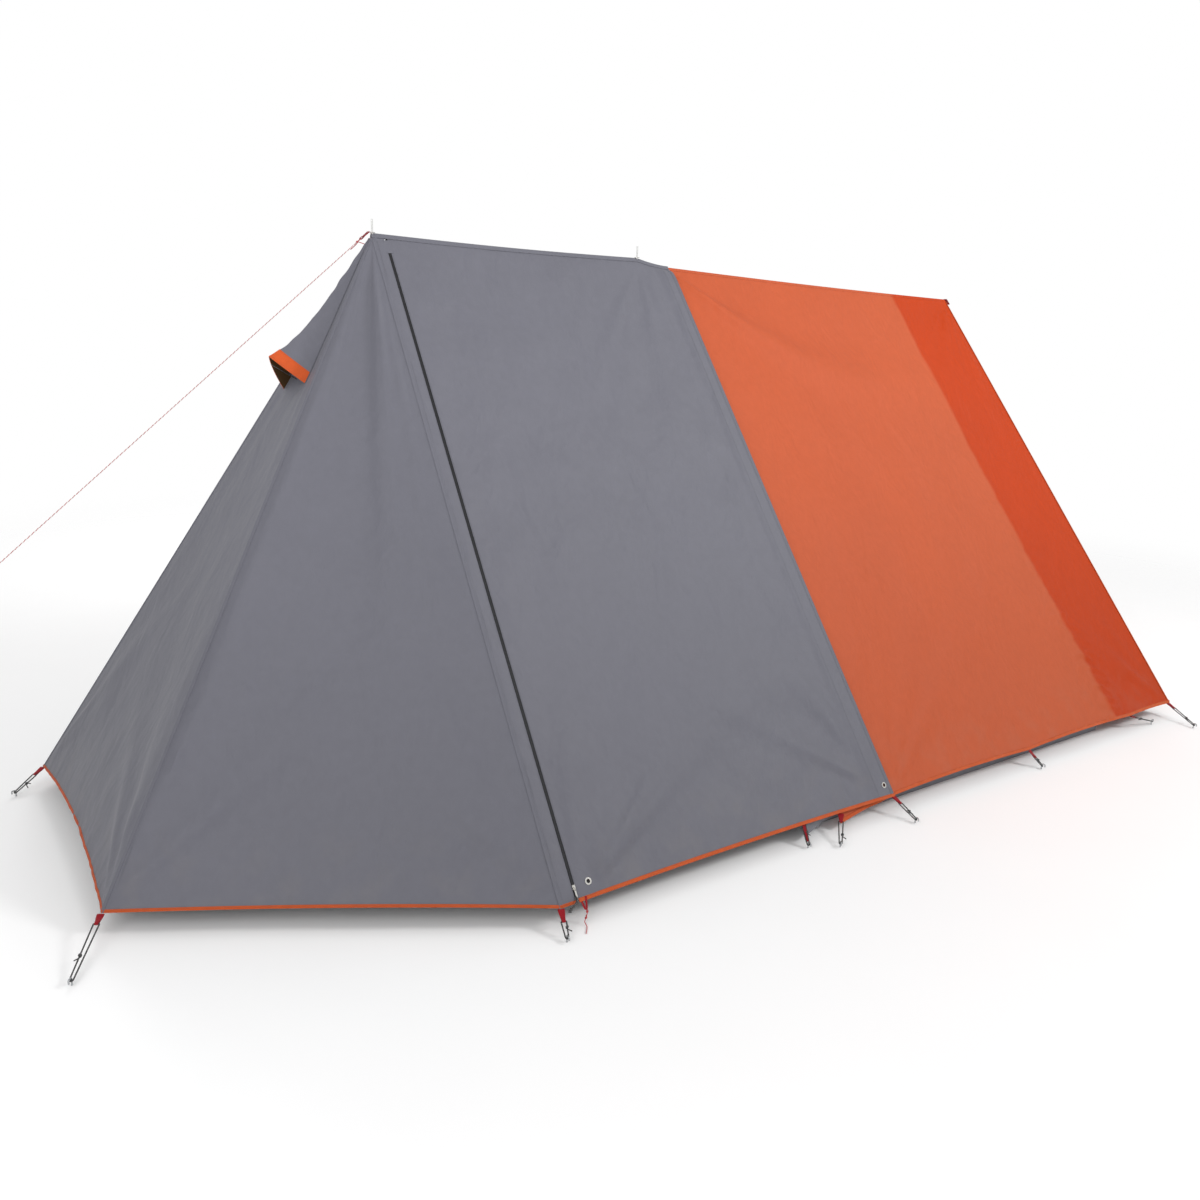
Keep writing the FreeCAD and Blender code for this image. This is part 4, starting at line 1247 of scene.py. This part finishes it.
def make_hood():
    q, b = np.meshgrid(np.linspace(-1, 1, 49), np.linspace(0.035, 1.0, 73))
    uv = np.stack((q * HOOD_HALF * b * 1.5, b * HOOD_SIDE), -1)
    sheet = cloth("vent_hood_cloth", [patch(hood(q, b), uv, FRONT_OUT)], GREY)
    flatten_with_prop(sheet, "grey_fly", "vent_hood")
    q, b = np.meshgrid(np.linspace(-1, 1, 61), np.linspace(1 - RIM_WIDTH / HOOD_SIDE, 1.005, 9))
    uv = np.stack((q * HOOD_HALF * 1.5, b * HOOD_SIDE), -1)
    rim = [patch(hood(q, b, 0.0010), uv, FRONT_OUT)]
    # The band's inner face takes the painted shade.
    band = cloth("vent_rim_band", rim, RIM_TAPE, thickness=0.0026, inside_material=RIM_INSIDE_SHADE)
    flatten_with_prop(band, "orange_binding", "vent_rim")
    thread, across = Batch(), np.linspace(-0.98, 0.98, 80)
    for b in (1 - (RIM_WIDTH - 0.002) / HOOD_SIDE, 0.997):
        thread.stitches(hood(across, np.full(80, b), 0.0011), FRONT_OUT)
    flatten_with_prop(thread.build("vent_rim_stitching", ORANGE_THREAD), "orange_binding")


def make_net():
    """The net behind the front panel, its strands over and under each other, and the tape round it."""
    net, tape = Batch(), Batch()
    thin, behind = round_section(0.00022, 4), -0.0022

    def strand(down, y, phase):
        wave = 0.0002 * np.cos(np.arange(len(down)) * math.pi + phase)
        net.sweep(on_front(down, y, behind + wave), FRONT_OUT + SIDEWAYS * 0.1, thin)

    def reach(down):
        return hole_half(down) + NET_MARGIN

    rows = np.arange(HOLE_TOP - 0.004, HOLE_FOOT + 0.004, NET_PITCH)
    for k, down in enumerate(rows):
        y = np.arange(-reach(down), reach(down), NET_PITCH)
        strand(np.full(len(y), down), y, k * math.pi)
    for k, y in enumerate(np.arange(-reach(HOLE_FOOT), reach(HOLE_FOOT), NET_PITCH)):
        down = rows[reach(rows) >= abs(y)]
        if len(down) > 1:
            strand(down, np.full(len(down), y), k * math.pi)
    place(net.build("vent_net", NET), "root", "mesh", "vent_mesh")
    share = np.linspace(0, 1, 20)
    corners = [(down, side * hole_half(down)) for down, side in (
        (HOLE_TOP, -1), (HOLE_FOOT, -1), (HOLE_FOOT, 1), (HOLE_TOP, 1), (HOLE_TOP, -1))]
    for (down_a, y_a), (down_b, y_b) in zip(corners, corners[1:]):
        path = on_front(down_a + (down_b - down_a) * share, y_a + (y_b - y_a) * share)
        tape.sweep(path, FRONT_OUT, seam_section(-0.0031, 0.0006))
    place(tape.build("vent_opening_tape", GREY), "root", "grey_fly")


# ---- Webbing, cords and pegs

EAR = corner("tub_walls", -1, 0.4, 0.2)     # the tip of the tub's ear at a front corner
EAR_STRAP = (0.018, 0.068)                  # its strap starts this far down the tab and is this long
STRAP_WIDTH = 0.017
PEG_BEND = 0.005
PEG_THICK = 0.002
CORD_TWIST = 0.0135                         # one full turn of the guyline's two strands
CORD_APART = 0.00068                        # how far each strand's middle lies from the line's


def planar(path, across):
    """Normals for a path whose band keeps one across direction."""
    return unit(np.cross(across, np.gradient(np.asarray(path), axis=0)))


def strap_axes(points):
    """A tab's top, its length, and its along, across and out directions."""
    top, bottom = ends(points)
    _, across, out = np.linalg.svd(points - points.mean(0))[2]
    out = out * (1 if out[2] > 0 else -1)
    return top, np.linalg.norm(bottom - top), unit(bottom - top), across, out


def folded_strap(batch, top, along, across, out, length, taper):
    """Webbing folded round its own eye, both ends at the top."""
    eye, thick = 0.0024, 0.0006
    down = np.linspace(-0.004, length - eye, 14)
    swell = 0.0008 + (eye - 0.0008) * smooth((down / length - 0.4) / 0.5)
    turn = np.linspace(0, math.pi, 9)[1:-1]
    a = np.concatenate((down, length - eye + eye * np.sin(turn), down[::-1]))
    h = np.concatenate((swell, eye * np.cos(turn), -swell[::-1]))
    path = top + along * a[:, None] + out * h[:, None]
    narrow = 1 - (1 - taper) * smooth(a / length)
    scale = np.stack((narrow, np.ones_like(a)), -1)
    section = flat_section(-STRAP_WIDTH / 2, STRAP_WIDTH / 2, -thick, thick)
    batch.sweep(path, planar(path, across), section, scale=scale)


def cord_loop(batch, start, along, across, length, half=0.0068, radius=0.0019, bottom=0.0041):
    """A closed loop of cord from an eye to the peg it goes round."""
    corner_radius = min(0.0018, half * 0.8)
    turn = np.linspace(-math.pi / 2, 0, 6)
    x = [0.0, *(half - corner_radius + corner_radius * np.cos(turn))]
    y = [0.0, *(corner_radius + corner_radius * np.sin(turn))]
    round_peg = np.linspace(0, math.pi, 11)
    strand = np.linspace(0, 1, 8)[1:-1]
    x += [*(half + (bottom - half) * strand), *(bottom * np.cos(round_peg)),
          *(-bottom + (bottom - half) * strand)]
    y += [*(y[-1] + (length - y[-1]) * strand), *(length + 1.15 * bottom * np.sin(round_peg)),
          *(length + (corner_radius - length) * strand)]
    turn = np.linspace(math.pi, 1.5 * math.pi, 6)
    x += [*(-half + corner_radius + corner_radius * np.cos(turn)), 0.0]
    y += [*(corner_radius + corner_radius * np.sin(turn)), 0.0]
    path = start + across * np.array(x)[:, None] + along * np.array(y)[:, None]
    batch.sweep(path, np.cross(along, across), round_section(radius))


def knot(batch, centre, along, level, out, tail=0.009, radius=0.0011, size=0.0021):
    """An overhand knot round a strand, with its two tails."""
    turn = np.linspace(0, 3.4 * math.pi, 26)
    coil = (level * (size * np.cos(turn))[:, None] + out * (size * np.sin(turn))[:, None]
            + along * (turn / turn[-1] - 0.5)[:, None] * 0.0042)
    first = np.linspace(tail, 0.0012, 5)[:, None]
    second = np.linspace(0.0012, tail, 5)[:, None]
    start = coil[0] - (out * 0.7 + along * 0.5) * first
    finish = coil[-1] + (level * 0.8 - out * 0.3 + along * 0.6) * second + level * second ** 2 * 20
    path = centre + np.concatenate((start, coil, finish))
    batch.sweep(path, along, round_section(radius))


def make_tabs():
    straps, thread = Batch(), Batch()
    for points in solids("webbing_tabs"):
        top, length, along, across, out = strap_axes(points)
        on_ear = np.linalg.norm(top - EAR * (1, np.sign(top[1] * EAR[1]), 1)) < 0.02
        if on_ear:
            top, length = top + along * EAR_STRAP[0], EAR_STRAP[1]
        folded_strap(straps, top, along, across, out, length, 0.14 if on_ear else 0.55)
        for inset in (0.003, 0.0065):
            row = top + along * inset + across * np.linspace(-0.0068, 0.0068, 12)[:, None]
            thread.stitches(row, out, 0.0015)
    place(straps.build("webbing_straps", RED_WEBBING), "root", "red_webbing", "webbing_tabs")
    place(thread.build("webbing_stitching", RED_WEBBING), "root", "red_webbing")


def make_elastics():
    cords = Batch()
    for index, points in enumerate(solids("elastic_cords")):
        top, bottom = ends(points)
        along = unit(bottom - top)
        across = unit(np.cross(along, UP))
        out = np.cross(across, along)
        start = top - along * 0.0029
        length = np.linalg.norm(bottom - start) + 0.0070
        cord_loop(cords, start, along, across, length)
        side = 1 if index % 2 else -1
        share = 0.50 + 0.12 * math.sin(index * 2.4)
        strand = start + along * length * share + across * side * (0.0066 - 0.0027 * share)
        knot(cords, strand, along, across * side, out, tail=0.012, radius=0.0015, size=0.0031)
    place(cords.build("elastic_loops", ELASTIC), "root", "elastic", "elastic_cords")


def make_pegs():
    pegs = Batch()
    for points in solids("pegs"):
        low_end = points[:, 2].min()
        shaft = points[points[:, 2] < low_end + 0.001].mean(0)
        offset = (points - shaft)[:, :2]
        far = offset[np.argmax(np.linalg.norm(offset, axis=1))]
        away = np.array((*unit(far), 0.0))
        hook = np.linalg.norm(far) - PEG_THICK
        head = points[:, 2].max() - PEG_THICK
        nose = PEG_BEND * 0.6
        turn = np.linspace(0, math.pi / 2, 7)
        x = [0, 0, 0, 0, *(PEG_BEND * (1 - np.cos(turn))), *(hook - nose + nose * np.sin(turn)), hook]
        z = [low_end, low_end + 0.004, low_end + 0.014, low_end + 0.05,
             *(head - PEG_BEND + PEG_BEND * np.sin(turn)), *(head - nose + nose * np.cos(turn)), head - 0.009]
        path = shaft * (1, 1, 0) + away * np.array(x, float)[:, None] + UP * np.array(z)[:, None]
        taper = np.ones((len(x), 1))
        taper[:2, 0] = (0.15, 0.45)
        pegs.sweep(path, np.cross(away, UP), round_section(PEG_THICK, 12), scale=taper)
    place(pegs.build("hooked_pegs", STEEL), "root", "bare_steel", "pegs")


def make_guyline():
    """Two strands twisted together from the tab at the ridge to a loop round the peg."""
    start, finish = ends(vertices("front_guyline"))
    along = unit(finish - start)
    out = np.cross(SIDEWAYS, along)
    at = np.arange(0, np.linalg.norm(finish - start), 0.0013)
    strands = (
        ("guyline_red_strand", RED_CORD, 0.0, ["front_guyline"]),
        ("guyline_white_strand", WHITE_CORD, math.pi, []),
    )
    for name, material, phase, replaced in strands:
        turn = at * 2 * math.pi / CORD_TWIST + phase
        path = (start + along * at[:, None] + SIDEWAYS * (CORD_APART * np.cos(turn))[:, None]
                + out * (CORD_APART * np.sin(turn))[:, None])
        strand = Batch()
        strand.sweep(path, SIDEWAYS + out * 0.3, round_section(0.00074, 6))
        place(strand.build(name, material), "root", "guyline", *replaced)
    ties = Batch()
    thin = 0.0009
    cord_loop(ties, finish - along * 0.004, along, SIDEWAYS, 0.011, half=0.0026, radius=thin)
    knot(ties, finish - along * 0.006, along, SIDEWAYS, out, tail=0.012, size=0.0024)
    cord_loop(ties, start - along * 0.0029, along, SIDEWAYS, 0.012, half=0.0052, radius=thin, bottom=thin)
    knot(ties, start + along * 0.012, along, SIDEWAYS, out, tail=0.026, size=0.0024)
    place(ties.build("guyline_ties", RED_CORD), "root", "guyline")


def make_door_trims():
    """Each door's corner strap with its hanging cord, and the cord on its zip puller."""
    for name, side in SIDES:
        normal, fall = roof_normal(side), roof_fall(side)
        body = "door_" + name
        hem = door(side, np.array(FRONT_ZIP[1] + CORNER_STRAP), np.array(SLOPE - 0.003), 0.0006)
        x = np.array((-0.0085, -0.006, -0.0035, -0.0025, 0.0, 0.0025, 0.0035, 0.006, 0.0085))[:, None]
        down = np.array((-0.006, 0.006, 0.018, 0.0225, 0.0245, 0.0225, 0.018, 0.006, -0.006))[:, None]
        path = hem + REARWARD * x + fall * down + normal * x * 0.08
        strap = Batch()
        strap.sweep(path, normal, flat_section(-0.0028, 0.0028, -0.0007, 0.0007))
        place(strap.build("door_corner_strap_" + name, RED_WEBBING), body, "red_webbing")

        foot = hem + fall * 0.0225
        drop = foot[2] - 0.0024
        share, run = np.linspace(0, 1, 9)[:-1, None], np.arange(1, 4)[:, None]
        swing = REARWARD * 0.004 * np.sin(share * 5) + SIDEWAYS * side * 0.002 * share
        spread = SIDEWAYS * side * (0.004 + 0.012 * run) - REARWARD * 0.006 * run ** 1.3
        hanging, lying = foot + swing - UP * drop * share, foot + spread - UP * drop
        cord = Batch()
        cord.sweep(np.concatenate((hanging, lying)), (1.0, 0.3 * side, 0.2), round_section(0.0011))
        for number in (2, 5):
            knot(cord, hanging[number], -UP, REARWARD, side * SIDEWAYS, tail=0.005)
        place(cord.build("door_corner_cord_" + name, RED_CORD), body, "guyline")

        puller = "front_puller_" + name
        tip = corner(puller, 0, 0, -1)
        run = unit(tip - np.array(middle(puller)))
        start = tip - run * 0.003
        share = np.linspace(0, 1, 12)[:, None]
        curl = start + run * 0.030 * share - REARWARD * 0.032 * share ** 2
        curl = curl + normal * 0.009 * smooth(share * 2.5)
        tail = Batch()
        tail.sweep(curl, normal, round_section(0.0025))
        knot(tail, curl[-2], run, REARWARD, normal, tail=0.006, size=0.0036, radius=0.0018)
        place(tail.build("puller_cord_" + name, ELASTIC), puller, "elastic")


# ---- The inner tent

IN_FRONT = low("inner_wall_front").x
IN_HALF = high("inner_wall_front").y
IN_TOP_HALF = corner("inner_wall_front", 0, 0.02, 1)[1]
IN_FOOT, IN_TOP = low("inner_wall_front").z, high("inner_wall_front").z
IN_REAR = (INNER_TOP[0], INNER_FOOT[0])
DOOR_MIDDLE = np.array((IN_FRONT, 0.0, high("inner_door").z - high("inner_door").y))
DOOR_SILL = low("inner_door").z
DOOR_RADIUS = high("inner_door").y
INNER_ROWS = 90
EAR_REACH = 0.16
EAR_DROOP = 0.052       # the ear's lower part stands this much farther out, under the hem
HOOKS = [hook.mean(0)[0] for hook in solids("inner_hooks")]


def pull_ears(points, share, droop=0.0):
    """Draws the cloth near both front corners out towards the ears' tips, in place."""
    for _, side in SIDES:
        reach = np.hypot(points[..., 0] - IN_FRONT, points[..., 1] - side * IN_HALF)
        pull = np.clip(1 - reach / EAR_REACH, 0, 1) ** 1.4 * share
        points[..., 0] += (EAR[0] - IN_FRONT) * pull
        points[..., 1] += side * (EAR[1] - IN_HALF + droop) * pull
    return points


def above_tub(points):
    """How much of the ears' pull the walls follow: all at their foot and none 10 cm higher."""
    return 1 - smooth((points[..., 2] - IN_FOOT) / 0.10)


def inner_corner(s, t, side):
    """Points on the straight frame of an inner side wall: s runs rearwards, t down."""
    rear = IN_REAR[0] + (IN_REAR[1] - IN_REAR[0]) * t
    x = IN_FRONT + (rear - IN_FRONT) * s
    y = side * (IN_TOP_HALF + (IN_HALF - IN_TOP_HALF) * t)
    return np.stack(np.broadcast_arrays(x, y, IN_TOP + (IN_FOOT - IN_TOP) * t), -1)


def inner_side(side, s, t):
    """An inner side wall hanging from its hooks: s runs rearwards, t down."""
    points = inner_corner(s, t, side)
    x, down = points[..., 0], t * SLOPE
    seed = 161 if side < 0 else 171
    edge = np.minimum(s, 1 - s) * (IN_REAR[0] - IN_FRONT)
    relief = dish(s, t, 0.016) + 0.0035 * ripples(x, down, seed, 0.7, 0.14)
    relief = relief + fans(x, down, seed, *(
        (number, (hook, 0), 90, 34, 5, 0.25, 0.005) for number, hook in enumerate(HOOKS)))
    relief = relief * smooth(edge / 0.06) * smooth(t / 0.03) * smooth((1 - t) / 0.04)
    points = points + unit(np.array((0.0, side * (IN_TOP - IN_FOOT), IN_HALF))) * relief[..., None]
    return pull_ears(points, above_tub(points))


def ridge_scallop(points):
    """The inner tent's ridge droops between its hooks."""
    nearest = np.min([np.abs(points[..., 0] - hook) for hook in HOOKS], axis=0)
    share = np.clip((points[..., 2] - IN_TOP + 0.3) / 0.3, 0, 1)
    lifted = points.copy()
    ends_held = smooth((points[..., 0] - IN_FRONT) / 0.1) * smooth((IN_REAR[0] - points[..., 0]) / 0.1)
    lifted[..., 2] -= 0.014 * smooth(nearest / 0.22) * share ** 2 * ends_held
    return lifted


def door_edge(angle, radius, sill):
    """Points round the opening, which its sill cuts off."""
    y, z = radius * np.cos(angle), radius * np.sin(angle)
    depth = sill - DOOR_MIDDLE[2]
    cut = z < depth
    y = np.where(cut, y * depth / np.where(cut, z, 1.0), y)
    return DOOR_MIDDLE + np.stack((np.zeros_like(y), y, np.where(cut, depth, z)), -1)


def inner_rear():
    """The inner tent's rear wall."""
    s, t = grid_of(60, INNER_ROWS)
    rear = inner_corner(np.ones_like(t), t, 1)
    rear[..., 1] *= 2 * s - 1
    rumple = 0.003 * ripples(rear[..., 1], rear[..., 2], 181, 0.6, 0.15)
    rear[..., 0] += dish(s, t, 0.014) - rumple * smooth(np.minimum(s, 1 - s) / 0.05) * smooth((1 - t) / 0.05)
    return patch(rear, rear[..., 1:], (1, 0, 0.2))


def inner_front():
    """The inner tent's front wall, from the edge of its round opening out to the other walls."""
    edge, across = np.linspace(0, 1, INNER_ROWS + 1), np.array((1.0, 0, 1))
    ridge = inner_corner(0.0, 0.0, 1) * (across + SIDEWAYS * np.array((0.5, 0, -0.5))[:, None])
    foot = inner_corner(0.0, 1.0, 1) * (across + SIDEWAYS * np.linspace(-1, 1, 61)[1:-1, None])
    outline = np.concatenate((inner_corner(0.0, edge[::-1], 1), ridge, inner_corner(0.0, edge, -1), foot))
    outline = np.concatenate((outline, outline[:1]))
    angle = np.arctan2(outline[:, 2] - DOOR_MIDDLE[2], outline[:, 1])
    opening = door_edge(angle, DOOR_RADIUS + 0.0095, DOOR_SILL - 0.0015)
    share = np.linspace(0, 1, 22)[:, None]
    wall = opening + (outline - opening) * share[..., None]
    rumple = 0.003 * ripples(wall[..., 1], wall[..., 2], 182, 0.4, 0.12)
    wall[..., 0] += rumple * smooth(share / 0.3) * smooth((1 - share) / 0.25)
    return patch(pull_ears(wall, above_tub(wall)), wall[..., 1:], (-1, 0, 0))


def make_inner_tent():
    columns = 100
    s, t = grid_of(columns, INNER_ROWS)
    patches = []
    for _, side in SIDES:
        uv = np.stack((s * (IN_REAR[1] - IN_FRONT), side * t * SLOPE), -1)
        patches.append(patch(ridge_scallop(inner_side(side, s, t)), uv, (0, side, 0.5)))
    strip = ridge_scallop(inner_corner(s[:1], np.zeros((1, columns + 1)), 1) * np.ones((5, 1, 1)))
    strip[..., 1] *= np.linspace(-1, 1, 5)[:, None]
    patches += [patch(strip, strip[..., :2], UP), inner_rear(), inner_front()]
    walls = ["inner_wall_" + name for name in ("near", "far", "front", "rear")]
    place(cloth("inner_tent_walls", patches, INNER_CLOTH), "root", "inner_fabric", *walls)


def make_inner_door():
    edge = door_edge(np.linspace(0, 2 * math.pi, 145), DOOR_RADIUS, DOOR_SILL - 0.008)
    share = np.linspace(0, 1, 40)[:, None]
    disc = DOOR_MIDDLE + (edge - DOOR_MIDDLE) * share[..., None]
    hold = smooth((1 - share) / 0.12) * smooth((disc[..., 2] - DOOR_SILL) / 0.08)
    disc[..., 0] += 0.0012 + 0.004 * ripples(disc[..., 1], disc[..., 2], 183, 0.5, 0.13) * hold
    panel = cloth("inner_door_cloth", [patch(disc, disc[..., 1:], (-1, 0, 0))], INNER_CLOTH)
    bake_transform(panel)
    tag(panel, "inner_fabric", "inner_door")

    radius = DOOR_RADIUS + 0.005
    lowest = math.asin((DOOR_SILL + 0.004 - DOOR_MIDDLE[2]) / radius)
    turn = np.linspace(lowest, math.pi - lowest, 400)
    arc = np.stack((0.0 * turn, radius * np.cos(turn), DOOR_MIDDLE[2] + radius * np.sin(turn)), -1)
    arc[:, 0] = low("inner_zip_fixed").x + 0.0002
    teeth_on("inner_zip_teeth_fixed", arc, -REARWARD, 1, "root")
    teeth_on("inner_zip_teeth_door", arc, -REARWARD, -1, "inner_door")


def make_tub():
    """The groundsheet: a floor whose edges turn up, pulled out into an ear at each front corner."""
    bottom, top = low("inner_floor").z + 0.0012, high("tub_walls").z
    rear = IN_REAR[1]
    s, t = grid_of(110, 110)
    x, y = IN_FRONT + (rear - IN_FRONT) * s, IN_HALF * (2 * t - 1)
    inside = np.minimum(np.minimum(s, 1 - s) * (rear - IN_FRONT), np.minimum(t, 1 - t) * 2 * IN_HALF)
    z = bottom + (0.0022 + 0.0010 * ripples(x, y, 191, 0.5, 0.1)) * smooth(inside / 0.05)
    patches = [patch(np.stack((x, y, z), -1), np.stack((x, y), -1), (0, 0, -1))]
    up = np.linspace(0, 1, 13)[:, None]

    def wall(run_x, run_y, outward):
        grid = np.stack(np.broadcast_arrays(run_x, run_y, bottom + (top - bottom) * up), -1).copy()
        run = grid[..., 0] + grid[..., 1]
        free = smooth(up) * 0.0025 * ripples(run, grid[..., 2], 192, 0.25, 0.05)
        near_corner = np.minimum(np.abs(grid[..., 0] - IN_FRONT), np.abs(grid[..., 0] - rear)) + (
            IN_HALF - np.abs(grid[..., 1]))
        grid += np.array(outward, float) * (free * smooth(near_corner / 0.05))[..., None]
        pull_ears(grid, smooth(up / 0.3), EAR_DROOP * (1 - up))
        uv = np.stack((grid[..., 0] + grid[..., 1], grid[..., 2]), -1)
        patches.append(patch(grid, uv, outward))

    along, across = x[0][None], y[:, 0][None]
    for _, side in SIDES:
        wall(along, side * IN_HALF, (0, side, 0))
    wall(IN_FRONT, across, (-1, 0, 0))
    wall(rear, across, (1, 0, 0))
    place(cloth("groundsheet_tub", patches, GROUND_CLOTH), "root", "groundsheet", "inner_floor", "tub_walls")


# ---- The CAD nodes that stay: eased edges and their own materials

def finish_kept_nodes():
    looks = (
        (("front_pole", "mid_pole", "rear_pole"), POLE_PAINT, 0.0),
        (("pole_spikes",), SPIKE_STEEL, 0.0004),
        (("rear_pole_cap", "pole_feet", "guyline_runner", "vent_prop", "inner_hooks"), PLASTIC, 0.0004),
        (("door_eyelets_near", "door_eyelets_far", "ridge_eyelets"), NICKEL, 0.0005),
    )
    for nodes, material, bevel in looks:
        for node in nodes:
            finish_node(node, material, bevel)
    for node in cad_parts:
        if "slider" in node or "puller" in node:
            finish_node(node, NICKEL, 0.0003)
        elif "_zip_" in node:
            finish_node(node, ZIP_TAPE_CLOTH, 0.0002)


def finish_node(node, material, bevel):
    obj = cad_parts[node]
    obj.data.materials.clear()
    obj.data.materials.append(material)
    if bevel:
        modifier = obj.modifiers.new("eased", "BEVEL")
        modifier.width = bevel
        modifier.segments = 2
        modifier.limit_method = "ANGLE"
        modifier.angle_limit = math.radians(40)


# ---- Stage

def make_stage():
    floor = Batch()
    reach = np.linspace(-7, 7, 9)
    x, y = np.meshgrid(reach, reach)
    flat = np.stack((x.ravel(), y.ravel()), -1)
    floor.add(np.pad(flat, ((0, 0), (0, 1))), grid_quads(9, 9).reshape(-1, 4), flat)
    floor.build("studio_floor", floor_material())

    world = bpy.data.worlds.new("studio")
    world.use_nodes = True
    bpy.context.scene.world = world
    tree = world.node_tree
    tree.nodes.clear()
    path = tree.nodes.new("ShaderNodeLightPath")
    level = tree.nodes.new("ShaderNodeMapRange")
    level.inputs["To Min"].default_value = 0.66
    level.inputs["To Max"].default_value = 1.0
    background = tree.nodes.new("ShaderNodeBackground")
    background.inputs["Color"].default_value = (1.0, 1.0, 1.0, 1.0)
    output = tree.nodes.new("ShaderNodeOutputWorld")
    tree.links.new(path.outputs["Is Camera Ray"], level.inputs["Value"])
    tree.links.new(level.outputs[0], background.inputs["Strength"])
    tree.links.new(background.outputs[0], output.inputs["Surface"])

    lights = (
        ("key", (3.4, -4.6, 4.4), 1.6, 160.0),
        ("fill", (-4.4, -3.4, 3.0), 3.5, 90.0),
        ("back", (0.5, 5.0, 4.2), 3.0, 110.0),
    )
    for name, place_at, size, power in lights:
        light = bpy.data.lights.new(name, "AREA")
        light.shape = "DISK"
        light.size = size
        light.energy = power
        lamp = bpy.data.objects.new(name, light)
        lamp.location = place_at
        lamp.rotation_mode = "QUATERNION"
        lamp.rotation_quaternion = (Vector((0, 0, 0.6)) - Vector(place_at)).to_track_quat("-Z", "Y")
        bpy.context.scene.collection.objects.link(lamp)


def make_camera():
    """The photograph's viewing angle: beside the porch, a little below the ridge, looking rearwards."""
    place_at, yaw, pitch, roll = (-2.280, -2.927, 1.433), 35.47, -14.41, 2.20
    data = bpy.data.cameras.new("camera")
    data.sensor_width = 36.0
    data.lens = 30.54
    camera = bpy.data.objects.new("camera", data)
    bpy.context.scene.collection.objects.link(camera)
    yaw, pitch, roll = (math.radians(angle) for angle in (yaw, pitch, roll))
    forward = Vector((math.sin(yaw) * math.cos(pitch), math.cos(yaw) * math.cos(pitch), math.sin(pitch)))
    camera.location = place_at
    camera.rotation_mode = "QUATERNION"
    camera.rotation_quaternion = forward.to_track_quat("-Z", "Y") @ Quaternion((0, 0, 1), roll)
    bpy.context.scene.camera = camera


make_porch()
for name, side in SIDES:
    make_door(name, side)
make_ridge_tape()
make_zips()
make_cabin()
make_hood()
make_net()
make_tabs()
make_elastics()
make_pegs()
make_guyline()
make_door_trims()
make_inner_tent()
make_inner_door()
make_tub()
finish_kept_nodes()
make_stage()
make_camera()
bpy.context.scene.view_settings.view_transform = "Standard"
